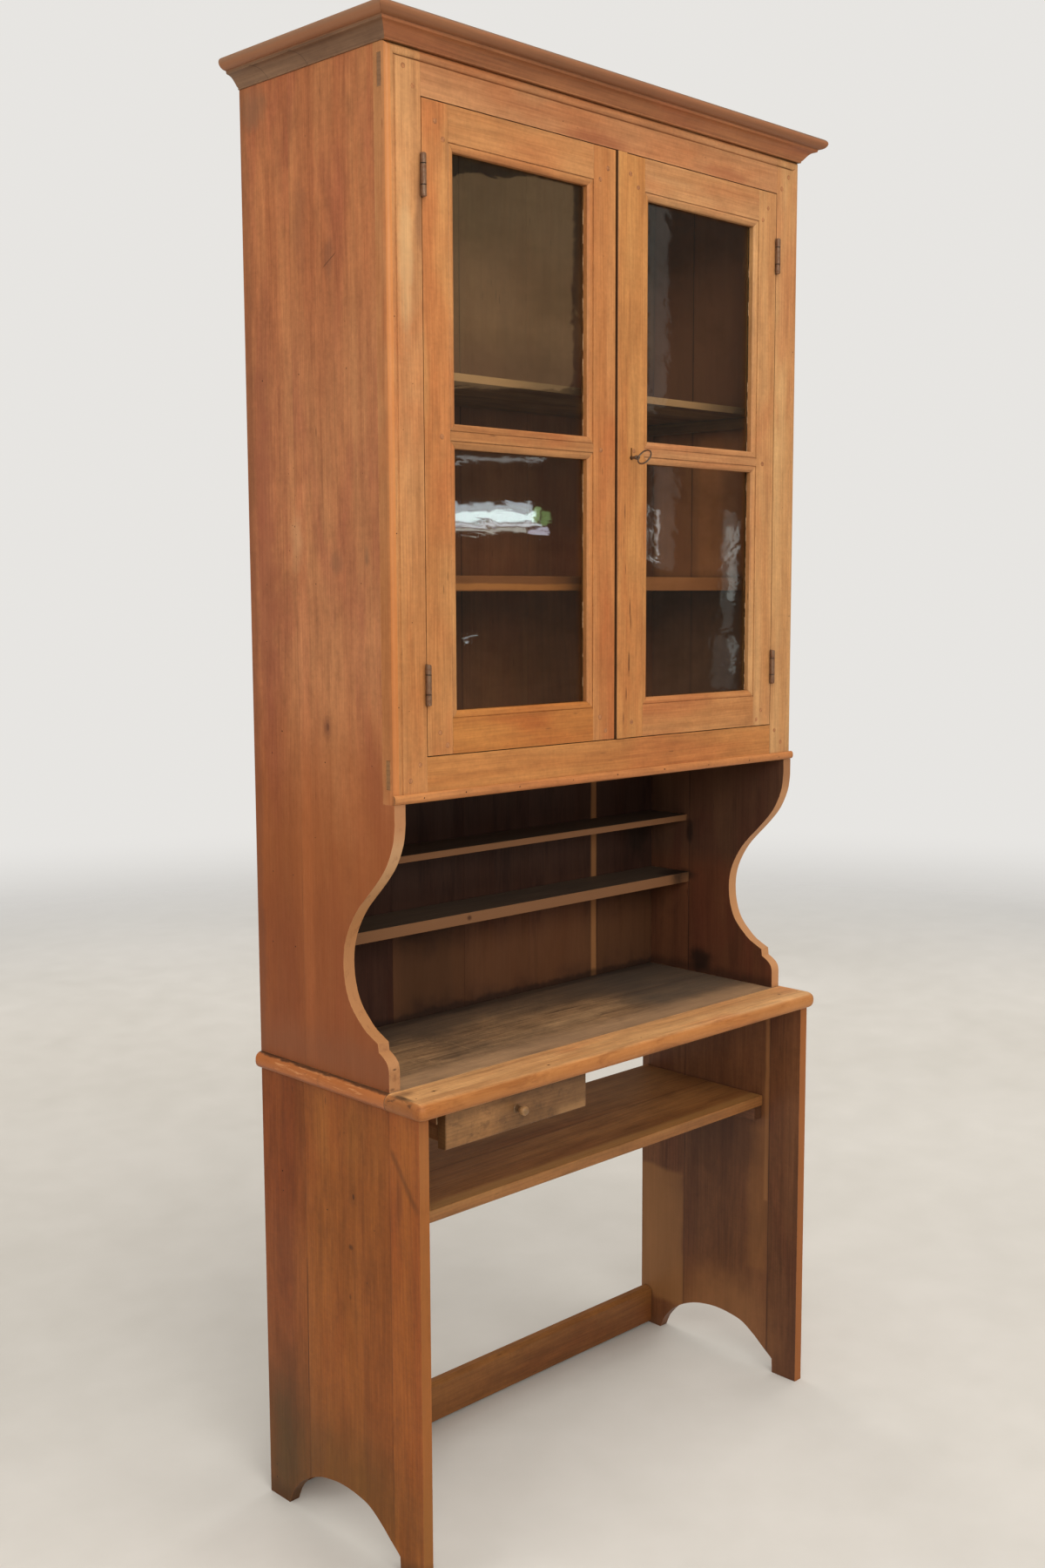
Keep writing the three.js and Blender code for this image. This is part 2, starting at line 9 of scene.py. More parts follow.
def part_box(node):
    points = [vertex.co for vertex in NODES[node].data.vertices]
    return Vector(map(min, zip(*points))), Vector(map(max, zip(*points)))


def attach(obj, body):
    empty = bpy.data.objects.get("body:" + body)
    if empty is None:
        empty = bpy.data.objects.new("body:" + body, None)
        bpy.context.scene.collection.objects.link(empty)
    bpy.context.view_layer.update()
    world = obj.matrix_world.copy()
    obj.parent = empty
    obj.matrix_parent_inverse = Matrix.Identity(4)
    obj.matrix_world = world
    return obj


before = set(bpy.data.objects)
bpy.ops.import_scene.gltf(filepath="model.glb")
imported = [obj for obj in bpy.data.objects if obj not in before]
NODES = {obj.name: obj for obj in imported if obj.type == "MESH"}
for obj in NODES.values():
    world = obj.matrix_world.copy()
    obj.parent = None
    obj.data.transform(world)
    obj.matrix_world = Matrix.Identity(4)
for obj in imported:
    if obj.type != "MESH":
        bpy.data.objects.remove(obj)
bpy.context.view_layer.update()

scene = bpy.context.scene
SHIFT = -140.0  # y of the upper face frame's front, in mm from the origin


def mm(x, y, z):
    """A point in millimetres, with y counted from the face frame's front, in metres in the part's frame."""
    return Vector((x / 1000.0, (y + SHIFT) / 1000.0, z / 1000.0))


# ---------------------------------------------------------------- camera, light, floor
def set_camera():
    az, el, roll = (math.radians(a) for a in (-46.081, 6.834, 0.110))
    back = Vector((math.sin(az) * math.cos(el), -math.cos(az) * math.cos(el), math.sin(el)))
    right = Vector((math.cos(az), math.sin(az), 0.0))
    up = back.cross(right)
    r2 = right * math.cos(roll) + up * math.sin(roll)
    u2 = up * math.cos(roll) - right * math.sin(roll)
    data = bpy.data.cameras.new("camera")
    data.sensor_fit = "AUTO"
    data.sensor_width = 36.0
    data.lens = 1910.187 / 1800.0 * 36.0
    data.shift_x = (600.0 - 691.327) / 1800.0
    data.shift_y = (900.539 - 900.0) / 1800.0
    data.clip_start = 0.05
    data.clip_end = 100.0
    cam = bpy.data.objects.new("camera", data)
    rot = Matrix((r2, u2, back)).transposed().to_4x4()
    cam.matrix_world = Matrix.Translation(mm(-1935.162, -1831.036, 1474.342)) @ rot
    scene.collection.objects.link(cam)
    scene.camera = cam


def area(name, loc, target, size, power, color=(1, 1, 1), size_y=None):
    data = bpy.data.lights.new(name, "AREA")
    data.shape = "RECTANGLE"
    data.size = size
    data.size_y = size_y or size
    data.energy = power
    data.color = color
    ob = bpy.data.objects.new(name, data)
    ob.location = loc
    ob.rotation_euler = (Vector(target) - Vector(loc)).to_track_quat("-Z", "Y").to_euler()
    ob.visible_camera = False
    scene.collection.objects.link(ob)
    return ob


def set_lights():
    # an even pale studio; what gloss and glass mirror of it is dimmer, as with dark flags beside the camera
    world = bpy.data.worlds.new("studio")
    scene.world = world
    world.use_nodes = True
    nt = world.node_tree
    nt.nodes.clear()
    out = nt.nodes.new("ShaderNodeOutputWorld")
    path = nt.nodes.new("ShaderNodeLightPath")
    soft = nt.nodes.new("ShaderNodeBackground")
    soft.inputs["Color"].default_value = (0.83, 0.815, 0.79, 1)
    soft.inputs["Strength"].default_value = 0.62
    seen = nt.nodes.new("ShaderNodeBackground")
    seen.inputs["Color"].default_value = (0.80, 0.785, 0.76, 1)
    seen.inputs["Strength"].default_value = 1.0
    flag = nt.nodes.new("ShaderNodeBackground")
    flag.inputs["Color"].default_value = (0.80, 0.72, 0.62, 1)
    flag.inputs["Strength"].default_value = 0.20
    m1 = nt.nodes.new("ShaderNodeMixShader")
    m2 = nt.nodes.new("ShaderNodeMixShader")
    nt.links.new(path.outputs["Is Camera Ray"], m1.inputs[0])
    nt.links.new(soft.outputs[0], m1.inputs[1])
    nt.links.new(seen.outputs[0], m1.inputs[2])
    nt.links.new(path.outputs["Is Glossy Ray"], m2.inputs[0])
    nt.links.new(m1.outputs[0], m2.inputs[1])
    nt.links.new(flag.outputs[0], m2.inputs[2])
    nt.links.new(m2.outputs[0], out.inputs["Surface"])
    # a large soft light from the front and left, as from a row of windows, and weaker ones around
    area("key_soft", (-2.6, -4.2, 3.3), (0, 0, 1.25), 3.2, 118, (1.0, 0.985, 0.96), 2.6)
    area("top_soft", (-0.2, -1.5, 4.6), (0, -0.1, 0.7), 2.2, 74, (1.0, 0.985, 0.965)).visible_glossy = False
    for name, loc, size, power in (("fill_front", (1.9, -4.4, 2.6), 2.6, 34), ("fill_left", (-4.4, 1.0, 2.4), 2.4, 50),
                                   ("fill_right", (4.4, 0.6, 2.4), 2.4, 45), ("fill_back", (1.2, 4.2, 3.0), 2.6, 70)):
        area(name, loc, (0, 0, 1.2), size, power, (1.0, 0.985, 0.965)).visible_glossy = False
    # strips of light, small and far, that the doors' old glass mirrors as wavy lines
    pane = (-0.25, -0.128, 1.57)
    for name, loc, wide, high, glow, tint in (
            ("strip_bright", (2.816, -3.536, 1.760), 0.409, 0.042, 36.0, (0.82, 0.96, 1.0)), ("strip_top", (2.808, -3.539, 1.799), 0.394, 0.030, 16.0, (0.80, 0.90, 1.0)),
            ("strip_mid", (2.830, -3.531, 1.727), 0.441, 0.015, 21.0, (0.92, 0.93, 1.0)), ("strip_low", (2.800, -3.544, 1.703), 0.372, 0.022, 12.0, (1.0, 0.98, 0.90)),
            ("strip_lilac", (3.029, -3.440, 1.697), 0.086, 0.027, 16.0, (0.88, 0.82, 1.0)), ("strip_green", (3.019, -3.442, 1.771), 0.027, 0.055, 10.0, (0.60, 0.95, 0.40)),
            ("strip_leaf", (3.055, -3.426, 1.754), 0.033, 0.055, 7.0, (0.52, 0.90, 0.32))):
        area(name, loc, pane, wide, glow * wide * high, tint, high)
    area("strip_thin", (2.829, -3.521, 1.992), pane, 0.446, 0.034, (0.95, 0.97, 1.0), 0.014)
    for name, loc, wide, high in (("strip_spot", (2.731, -3.575, 1.240), 0.012, 0.014), ("strip_spark", (2.746, -3.569, 1.256), 0.017, 0.010),
                                  ("strip_tick", (2.764, -3.562, 1.266), 0.022, 0.007)):
        area(name, loc, (-0.303, -0.128, 1.394), wide, 21.0 * wide * high, (0.95, 1.0, 1.0), high)
    pane = (0.2, -0.128, 1.55)
    area("strip_a", (3.478, -3.228, 1.707), pane, 0.010, 0.015, (1.0, 1.0, 1.0), 0.24)
    area("strip_b", (3.521, -3.208, 1.692), pane, 0.012, 0.028, (1.0, 1.0, 1.0), 0.21)
    for name, loc, wide, high, glow in (("strip_c", (3.849, -3.054, 1.568), 0.034, 0.327, 4.0), ("strip_g", (3.829, -3.064, 1.472), 0.051, 0.405, 1.1),
                                        ("strip_h", (3.841, -3.056, 1.693), 0.060, 0.191, 1.5), ("strip_i", (3.818, -3.064, 1.133), 0.100, 0.233, 0.7),
                                        ("strip_j", (3.853, -3.048, 1.164), 0.016, 0.156, 2.6)):
        area(name, loc, pane, wide, glow * wide * high, (0.95, 1.0, 0.99), high)
    area("strip_e", (3.475, -3.169, 2.679), pane, 0.085, 0.085, (1.0, 0.98, 0.95), 0.90)
    area("veil", (2.836, -3.459, 2.701), (-0.217, -0.128, 1.92), 0.594, 1.49, (1.0, 0.60, 0.30), 0.831)
    area("strip_f", (3.551, -3.192, 1.774), pane, 0.091, 0.036, (1.0, 0.96, 0.92), 0.45)
    scene.view_settings.view_transform = "Standard"
    scene.view_settings.look = "None"
    scene.view_settings.exposure = 0.0
    scene.view_settings.gamma = 1.0


# ---------------------------------------------------------------- material toolkit
TONE = [1.0, 1.0, 1.0]  # multiplies every colour of the material being made


def lin(c):
    """sRGB 0..255 to linear, with alpha."""
    out = []
    for v, t in zip(c, TONE):
        v = v / 255.0
        out.append(min(1.0, t * (v / 12.92 if v <= 0.04045 else ((v + 0.055) / 1.055) ** 2.4)))
    return tuple(out) + (1.0,)


class Mat:
    """Short names for the nodes of one material."""

    def __init__(self, name):
        self.mat = bpy.data.materials.new(name)
        self.mat.use_nodes = True
        self.nt = self.mat.node_tree
        self.nt.nodes.clear()
        self.out = self.node("ShaderNodeOutputMaterial")
        self.tc = self.node("ShaderNodeTexCoord")
        self.geo = self.node("ShaderNodeNewGeometry")

    def node(self, kind, **props):
        n = self.nt.nodes.new(kind)
        for k, v in props.items():
            if getattr(n, k) != v:
                setattr(n, k, v)
        return n

    def put(self, socket, value):
        if isinstance(value, bpy.types.NodeSocket):
            self.nt.links.new(value, socket)
        elif value is not None and not (isinstance(value, (int, float)) and socket.default_value == value):
            socket.default_value = value

    def math(self, op, a, b=None, c=None, clamp=False):
        n = self.node("ShaderNodeMath", operation=op, use_clamp=clamp)
        for i, v in enumerate((a, b, c)):
            self.put(n.inputs[i], v)
        return n.outputs[0]

    def add(self, a, b):
        return self.math("ADD", a, b)

    def sub(self, a, b):
        return self.math("SUBTRACT", a, b)

    def mul(self, a, b):
        return self.math("MULTIPLY", a, b)

    def xyz(self, x, y, z):
        n = self.node("ShaderNodeCombineXYZ")
        for i, v in enumerate((x, y, z)):
            self.put(n.inputs[i], v)
        return n.outputs[0]

    def split(self, v):
        n = self.node("ShaderNodeSeparateXYZ")
        self.put(n.inputs[0], v)
        return n.outputs

    def dot(self, a, b):
        n = self.node("ShaderNodeVectorMath", operation="DOT_PRODUCT")
        self.put(n.inputs[0], a)
        self.put(n.inputs[1], b)
        return n.outputs["Value"]

    def smooth(self, v, lo, hi, a=0.0, b=1.0):
        n = self.node("ShaderNodeMapRange", interpolation_type="SMOOTHSTEP")
        for i, q in enumerate((v, lo, hi, a, b)):
            self.put(n.inputs[i], q)
        return n.outputs[0]

    def linear(self, v, lo, hi, a=0.0, b=1.0):
        n = self.node("ShaderNodeMapRange", interpolation_type="LINEAR", clamp=True)
        for i, q in enumerate((v, lo, hi, a, b)):
            self.put(n.inputs[i], q)
        return n.outputs[0]

    def mix(self, fac, a, b, blend="MIX"):
        n = self.node("ShaderNodeMix", data_type="RGBA", blend_type=blend)
        self.put(n.inputs[0], fac)
        self.put(n.inputs[6], a)
        self.put(n.inputs[7], b)
        return n.outputs[2]

    def noise(self, vec, scale, detail=2.0, rough=0.5, distort=0.0, lac=2.0):
        n = self.node("ShaderNodeTexNoise", noise_dimensions="3D")
        self.put(n.inputs["Vector"], vec)
        self.put(n.inputs["Scale"], scale)
        self.put(n.inputs["Detail"], detail)
        self.put(n.inputs["Roughness"], rough)
        self.put(n.inputs["Lacunarity"], lac)
        self.put(n.inputs["Distortion"], distort)
        return n.outputs[0]

    def voronoi(self, vec, scale, feature="F1", rand=1.0):
        n = self.node("ShaderNodeTexVoronoi", feature=feature)
        self.put(n.inputs["Vector"], vec)
        self.put(n.inputs["Scale"], scale)
        self.put(n.inputs["Randomness"], rand)
        return n.outputs

    def ramp(self, fac, stops):
        n = self.node("ShaderNodeValToRGB")
        el = n.color_ramp.elements
        while len(el) < len(stops):
            el.new(0.5)
        for e, (p, v) in zip(el, stops):
            e.position = p
            e.color = (v, v, v, 1) if isinstance(v, (int, float)) else v
        self.put(n.inputs[0], fac)
        return n.outputs[0]

    def bump(self, height, distance, strength=1.0, normal=None):
        n = self.node("ShaderNodeBump")
        self.put(n.inputs["Strength"], strength)
        self.put(n.inputs["Distance"], distance)
        self.put(n.inputs["Height"], height)
        if normal is not None:
            self.put(n.inputs["Normal"], normal)
        return n.outputs[0]

    def edge(self, radius, lo, hi):
        """1 along the sharp edges of a piece, 0 on its flats."""
        n = self.node("ShaderNodeBevel", samples=4)
        self.put(n.inputs["Radius"], radius)
        d = self.dot(n.outputs[0], self.geo.outputs["Normal"])
        return self.smooth(self.sub(1.0, d), lo, hi)

    def corner(self, distance, lo, hi):
        """1 in gaps and inner corners, 0 in the open."""
        n = self.node("ShaderNodeAmbientOcclusion", samples=4)
        self.put(n.inputs["Distance"], distance)
        return self.smooth(n.outputs["AO"], hi, lo)


AXES = {"x": 0, "y": 1, "z": 2}


def wood(name, grain, across, light, mid, dark, red=None, seed=0.0, seams=(), tones=(), ring=0.0055, ring_amount=0.16, streak=0.45,
         blotch=0.5, smudge=0.30, dashes=0.5, edge_colour=None, edge_amount=0.35, grime=0.6, grime_colour=(48, 28, 18), grime_size=0.010,
         rough=(0.42, 0.62), end_colour=None, spots=0.35, zones=(), scratches=0.0, knots=(), seam_width=0.0007, seam_amount=0.8, spec=0.32, haze=None, curl=0.03,
         bump=0.00022, mottle=0.20):
    """Old waxed board wood. grain and across are axes of the part's frame; seams are places along across, in
    millimetres, where boards meet; tones are a tint for each of those boards; zones are (colour, amount, function that
    gives a mask), with
    "tint" for a linear factor that keeps the grain, or "late" for a colour laid over the worn edges and the corner
    darkening
    too: dirt, dark lines, painted light and painted shade."""
    m = Mat(name)
    start = m.node("ShaderNodeValue")
    start.name = "seed"
    start.outputs[0].default_value = seed
    seed = start.outputs[0]
    g_i, a_i = AXES[grain], AXES[across]
    t_i = 3 - g_i - a_i
    P = m.tc.outputs["Object"]
    p = m.split(P)
    nrm = m.split(m.tc.outputs["Normal"])
    g, a, t = p[g_i], p[a_i], p[t_i]
    off = SHIFT if across == "y" else 0.0
    places = [(s + off) / 1000.0 for s in seams]
    # a wobble that keeps a seam from being ruler-straight
    wob = m.mul(m.sub(m.noise(m.xyz(m.mul(g, 3.0), seed, 0.0), 1.0, 2.0), 0.5), 0.0010)
    aw = m.add(a, wob)
    board = None
    for s in places:
        step = m.math("GREATER_THAN", aw, s)
        board = step if board is None else m.add(step, board)
    sd = m.add(m.mul(board, 5.37), seed) if places else seed
    # where the heart of the tree lay, beside and under each board
    n1 = m.sub(m.noise(m.xyz(m.add(m.mul(a, 5.0), sd), m.mul(g, 1.1), m.mul(t, 5.0)), 1.0, 2.0, 0.45), 0.5)
    n2 = m.sub(m.noise(m.xyz(m.mul(a, 2.2), m.add(m.mul(g, 0.75), sd), 3.7), 1.0, 1.5, 0.5), 0.5)
    heart = m.mul(m.sub(m.noise(m.xyz(sd, 1.3, 0.7), 3.3, 0.0), 0.5), 0.5)
    u = m.add(m.add(a, heart), m.mul(n1, 0.05))
    w = m.add(m.add(t, 0.09), m.mul(n2, 0.16))
    r = m.math("SQRT", m.add(m.mul(u, u), m.mul(w, w)))
    # the fibres wander a little from the board's length
    wander = m.mul(m.sub(m.noise(m.xyz(m.mul(a, 16.0), m.add(m.mul(g, 4.5), sd), m.mul(t, 16.0)), 1.0, 2.0, 0.5), 0.5), 0.007)
    wa = m.add(m.add(a, wander), m.mul(n1, 0.014))
    fine = m.sub(m.noise(m.xyz(m.mul(a, 60.0), m.mul(g, 2.5), m.mul(t, 60.0)), 1.0, 2.0), 0.5)
    f = m.math("FRACT", m.add(m.math("DIVIDE", r, ring), m.mul(fine, 0.9)))
    rings = m.ramp(f, [(0.0, 0.10), (0.30, 0.0), (0.70, 0.40), (0.92, 1.0), (1.0, 0.10)])
    ring_vary = m.smooth(m.noise(m.xyz(m.mul(a, 7.0), m.add(m.mul(g, 1.3), sd), t), 1.0, 2.0), 0.3, 0.7, 0.15, 1.0)
    # fibres, short pores, tone across the board, cloudy patches, cross figure
    fib = m.noise(m.xyz(m.add(m.mul(wa, 420.0), sd), m.mul(g, 9.0), m.mul(t, 420.0)), 1.0, 3.0, 0.65)
    fib2 = m.noise(m.xyz(m.add(m.mul(wa, 110.0), sd), m.mul(g, 3.4), m.mul(t, 110.0)), 1.0, 3.0, 0.6)
    band = m.noise(m.xyz(m.add(m.mul(wa, 22.0), sd), m.mul(g, 1.2), m.mul(t, 22.0)), 1.0, 3.0, 0.55)
    cloud = m.noise(m.xyz(m.add(m.mul(a, 8.0), sd), m.mul(g, 2.4), m.mul(t, 8.0)), 1.0, 4.0, 0.6, 0.3)
    warm = m.noise(m.xyz(m.mul(a, 11.0), m.add(m.mul(g, 2.9), sd), m.mul(t, 11.0)), 1.0, 3.0, 0.55, 0.4)
    smear = m.noise(m.xyz(m.add(m.mul(a, 17.0), seed), m.mul(g, 5.0), m.mul(t, 17.0)), 1.0, 3.0, 0.6, 0.5)
    cross = m.noise(m.xyz(m.add(m.mul(a, 8.0), sd), m.mul(g, 75.0), m.mul(t, 8.0)), 1.0, 2.0, 0.5, 0.8)

    fleck = m.noise(P, 165.0, 3.0, 0.6)
    cloth = m.noise(m.xyz(m.add(m.mul(wa, 64.0), sd), m.mul(g, 19.0), m.mul(t, 64.0)), 1.0, 3.0, 0.6)

    col = m.mix(m.smooth(band, 0.32, 0.68), lin(mid), lin(light))
    col = m.mix(m.mul(m.smooth(cloud, 0.44, 0.72), blotch), col, lin(dark))
    if red:
        col = m.mix(m.mul(m.smooth(warm, 0.46, 0.70), 0.75), col, lin(red))
    if tones:
        n = m.node("ShaderNodeValToRGB")
        n.color_ramp.interpolation = "CONSTANT"
        el = n.color_ramp.elements
        while len(el) < len(tones):
            el.new(0.5)
        for i, (e, c) in enumerate(zip(el, tones)):
            e.position = i / len(tones)
            e.color = tuple(c) + (1.0,)
        m.put(n.inputs[0], m.mul(m.add(board, 0.5), 1.0 / len(tones)))
        col = m.mix(1.0, col, n.outputs[0], "MULTIPLY")
    col = m.mix(m.mul(m.mul(rings, ring_vary), ring_amount), col, lin(tuple(v * 0.66 for v in dark)))
    col = m.mix(m.mul(m.smooth(smear, 0.60, 0.80), smudge), col, lin(tuple(v * 0.62 for v in dark)))
    col = m.mix(m.mul(m.smooth(fib, 0.40, 0.80), streak * 0.30), col, lin(tuple(v * 0.66 for v in mid)))
    col = m.mix(m.mul(m.smooth(fib, 0.60, 0.28), streak * 0.30), col, lin(tuple(min(255, v * 1.12) for v in light)))
    col = m.mix(m.mul(m.smooth(fib2, 0.46, 0.76), streak * 0.42), col, lin(tuple(v * 0.80 for v in dark)))
    hsv = m.node("ShaderNodeHueSaturation")
    shade = m.add(m.mul(m.sub(fleck, 0.5), mottle), m.mul(m.sub(cloth, 0.5), mottle * 1.35))
    m.put(hsv.inputs["Value"], m.add(m.linear(cross, 0.25, 0.75, 1.0 - curl, 1.0 + curl), shade))
    m.put(hsv.inputs["Color"], col)
    col = hsv.outputs[0]
    height = m.add(m.mul(fib, 0.30), m.mul(rings, -0.10))

    for (ka, kg, kr) in knots:  # small knots: (across mm, along mm, radius mm)
        ka = (ka + off) / 1000.0
        kg = (kg + (SHIFT if grain == "y" else 0.0)) / 1000.0
        dx = m.sub(m.add(a, m.mul(n1, 0.01)), ka)
        dz = m.mul(m.sub(g, kg), 0.55)
        d = m.math("SQRT", m.add(m.mul(dx, dx), m.mul(dz, dz)))
        eye = m.smooth(d, kr / 1000.0 * 0.5, kr / 1000.0 * 1.1, 1.0, 0.0)
        halo = m.smooth(d, kr / 1000.0, kr / 1000.0 * 5.0, 1.0, 0.0)
        ringk = m.math("FRACT", m.add(m.mul(d, 300.0), m.mul(fine, 0.5)))
        col = m.mix(m.mul(halo, m.linear(ringk, 0.0, 1.0, 0.15, 0.40)), col, lin(tuple(v * 0.78 for v in dark)))
        col = m.mix(m.mul(eye, 0.75), col, lin(tuple(v * 0.50 for v in dark)))

    if dashes:  # short dark checks and mineral streaks along the grain
        v = m.voronoi(m.xyz(m.add(m.mul(a, 95.0), seed), m.mul(g, 14.0), m.mul(t, 95.0)), 1.0)
        keep = m.smooth(m.noise(m.xyz(m.mul(a, 12.0), m.mul(g, 5.0), seed), 1.0, 2.0), 0.56, 0.66)
        mask = m.mul(m.smooth(v[0], 0.06, 0.13, 1.0, 0.0), keep)
        col = m.mix(m.mul(mask, dashes), col, lin(tuple(v * 0.42 for v in dark)))
        height = m.add(height, m.mul(mask, -0.8 * dashes))
    if spots:  # dents, worm holes and old nail holes
        v = m.voronoi(m.xyz(m.add(p[0], m.mul(seed, 0.1)), p[1], p[2]), 30.0)
        size = m.linear(m.noise(P, 9.0, 1.0), 0.45, 0.75, 0.0, 0.055)
        mask = m.smooth(m.sub(v[0], size), -0.012, 0.006, 1.0, 0.0)
        col = m.mix(m.mul(mask, spots), col, lin(tuple(v * 0.38 for v in dark)))
        height = m.add(height, m.mul(mask, -1.0 * spots))
    if scratches:
        sc = m.noise(m.xyz(m.mul(p[0], 34.0), m.mul(p[1], 3.0), m.mul(p[2], 3.0)), 1.0, 1.0, 0.5, 2.5)
        line = m.smooth(m.math("ABSOLUTE", m.sub(sc, 0.5)), 0.0, 0.010, 1.0, 0.0)
        sc2 = m.noise(m.xyz(m.mul(p[0], 3.0), m.mul(p[1], 40.0), m.mul(p[2], 3.0)), 1.0, 1.0, 0.5, 2.5)
        line2 = m.smooth(m.math("ABSOLUTE", m.sub(sc2, 0.5)), 0.0, 0.009, 1.0, 0.0)
        some = m.smooth(m.noise(P, 6.0, 2.0), 0.48, 0.62)
        both = m.mul(m.math("MAXIMUM", line, line2), some)
        col = m.mix(m.mul(both, scratches), col, lin(tuple(min(255, v * 1.3) for v in light)))
        height = m.add(height, m.mul(both, -0.3))
    if haze:
        colour, amount = haze
        hz = m.smooth(m.noise(P, 3.3, 4.0, 0.6, 0.5), 0.42, 0.72)
        col = m.mix(m.mul(hz, amount), col, lin(colour))

    # end grain
    end = m.smooth(m.math("ABSOLUTE", nrm[g_i]), 0.55, 0.9)
    ec = end_colour or tuple(v * 0.70 for v in mid)
    endc = m.mix(m.mul(rings, 0.45), lin(ec), lin(tuple(v * 0.60 for v in ec)))
    col = m.mix(m.mul(end, 0.72), col, endc)

    def lay(col, zone):
        colour, amount, mask_fn = zone[:3]
        if "tint" in zone[3:]:
            return m.mix(m.mul(mask_fn(m, p, nrm, P), amount), col, tuple(colour) + (1.0,), "MULTIPLY")
        return m.mix(m.mul(mask_fn(m, p, nrm, P), amount), col, lin(colour))

    for zone in zones:
        if "late" not in zone[3:]:
            col = lay(col, zone)

    # wear on the edges; dirt and painted shade in the corners and gaps, where ambient occlusion finds them
    if edge_amount:
        e = m.edge(0.0030, 0.015, 0.22)
        chip = m.smooth(m.noise(P, 55.0, 3.0, 0.6), 0.36, 0.60)
        ec = edge_colour or tuple(min(255, v * 1.12) for v in light)
        col = m.mix(m.mul(m.mul(e, chip), edge_amount), col, lin(ec))
        nick = m.smooth(m.noise(P, 140.0, 2.0, 0.5), 0.60, 0.68)
        col = m.mix(m.mul(m.mul(e, nick), edge_amount), col, lin(tuple(v * 0.6 for v in dark)))
    if grime:
        gr = m.corner(grime_size, 0.30, 0.82)
        patch = m.linear(m.noise(P, 14.0, 3.0, 0.6), 0.3, 0.7, 0.45, 1.0)
        col = m.mix(m.mul(m.mul(gr, patch), grime), col, lin(grime_colour))

    for zone in zones:
        if "late" in zone[3:]:
            col = lay(col, zone)

    # seams between boards
    for s in places:
        d = m.math("ABSOLUTE", m.sub(aw, s))
        width = m.linear(m.noise(m.xyz(m.mul(g, 5.0), s * 10, seed), 1.0, 2.0), 0.35, 0.65, seam_width * 0.25, seam_width * 1.6)
        line = m.smooth(m.math("DIVIDE", d, width), 0.6, 1.3, 1.0, 0.0)
        col = m.mix(m.mul(line, seam_amount), col, lin((44, 24, 15)))
        col = m.mix(m.smooth(d, 0.0, 0.006, 0.18 * seam_amount, 0.0), col, lin((70, 40, 24)))
        height = m.add(height, m.mul(line, -2.5 * seam_amount))

    bs = m.node("ShaderNodeBsdfPrincipled")
    m.put(bs.inputs["Base Color"], col)
    m.put(bs.inputs["Roughness"], m.linear(m.add(m.mul(cloud, 0.6), m.mul(fib, 0.4)), 0.3, 0.7, rough[0], rough[1]))
    bs.inputs["Specular IOR Level"].default_value = spec
    big = m.noise(m.xyz(m.mul(a, 14.0), m.mul(g, 2.0), m.mul(t, 14.0)), 1.0, 2.0)
    m.put(bs.inputs["Normal"], m.bump(height, bump, 0.8, m.bump(big, 0.0016, 0.35)))
    m.put(m.out.inputs["Surface"], bs.outputs[0])
    return m.mat


def box_mask(x=None, y=None, z=None, soft=0.008, rough=0.0, scale=9.0):
    """1 between two places along each axis given, in millimetres with y from the face frame, with a soft or ragged border."""
    def fn(m, p, nrm, P):
        out = None
        for i, span in enumerate((x, y, z)):
            if span is None:
                continue
            off = SHIFT if i == 1 else 0.0
            lo, hi = (span[0] + off) / 1000.0, (span[1] + off) / 1000.0
            v = p[i]
            if rough:
                v = m.add(v, m.mul(m.sub(m.noise(P, scale + 3.1 * i, 3.0, 0.6), 0.5), rough))
            k = m.mul(m.smooth(v, lo - soft, lo + soft), m.smooth(v, hi - soft, hi + soft, 1.0, 0.0))
            out = k if out is None else m.mul(out, k)
        return out
    return fn


def spot_mask(centre, radius, rough=0.5, squeeze=(1, 1, 1), scale=24.0):
    """A soft irregular patch round a point in millimetres, y from the face frame."""
    c = (centre[0] / 1000.0, (centre[1] + SHIFT) / 1000.0, centre[2] / 1000.0)
    r = radius / 1000.0

    def fn(m, p, nrm, P):
        d = [m.mul(m.sub(p[i], c[i]), 1.0 / squeeze[i]) for i in range(3)]
        q = m.math("SQRT", m.add(m.add(m.mul(d[0], d[0]), m.mul(d[1], d[1])), m.mul(d[2], d[2])))
        q = m.add(q, m.mul(m.sub(m.noise(P, scale, 4.0, 0.62), 0.5), r * rough * 2.0))
        return m.smooth(q, r * 0.25, r, 1.0, 0.0)
    return fn


def face_mask(axis, sign, lo=0.6, hi=0.9):
    """1 on the faces that look along an axis."""
    def fn(m, p, nrm, P):
        return m.smooth(m.mul(nrm[AXES[axis]], sign), lo, hi)
    return fn


def both(*fns):
    def fn(m, p, nrm, P):
        out = fns[0](m, p, nrm, P)
        for f in fns[1:]:
            out = m.mul(out, f(m, p, nrm, P))
        return out
    return fn


def arc_line(centre, radius, width=0.6):
    """A thin quarter circle, front and up from its centre (y, z), in millimetres: the trace of a scarf joint."""
    yc, zc = (centre[0] + SHIFT) / 1000.0, centre[1] / 1000.0

    def fn(m, p, nrm, P):
        dy, dz = m.sub(p[1], yc), m.sub(p[2], zc)
        d = m.math("SQRT", m.add(m.mul(dy, dy), m.mul(dz, dz)))
        line = m.smooth(m.math("ABSOLUTE", m.sub(d, radius / 1000.0)), 0.0, width / 1000.0, 1.0, 0.0)
        return m.mul(m.mul(line, m.math("LESS_THAN", dy, 0.001)), m.math("GREATER_THAN", dz, -0.001))
    return fn


def scuff_mask(scale, lo, hi):
    """Ragged worn spots, stretched by a scale along each axis."""
    def fn(m, p, nrm, P):
        v = m.xyz(*(m.mul(p[i], scale[i]) for i in range(3)))
        return m.smooth(m.noise(v, 1.0, 5.0, 0.68, 0.4), lo, hi)
    return fn


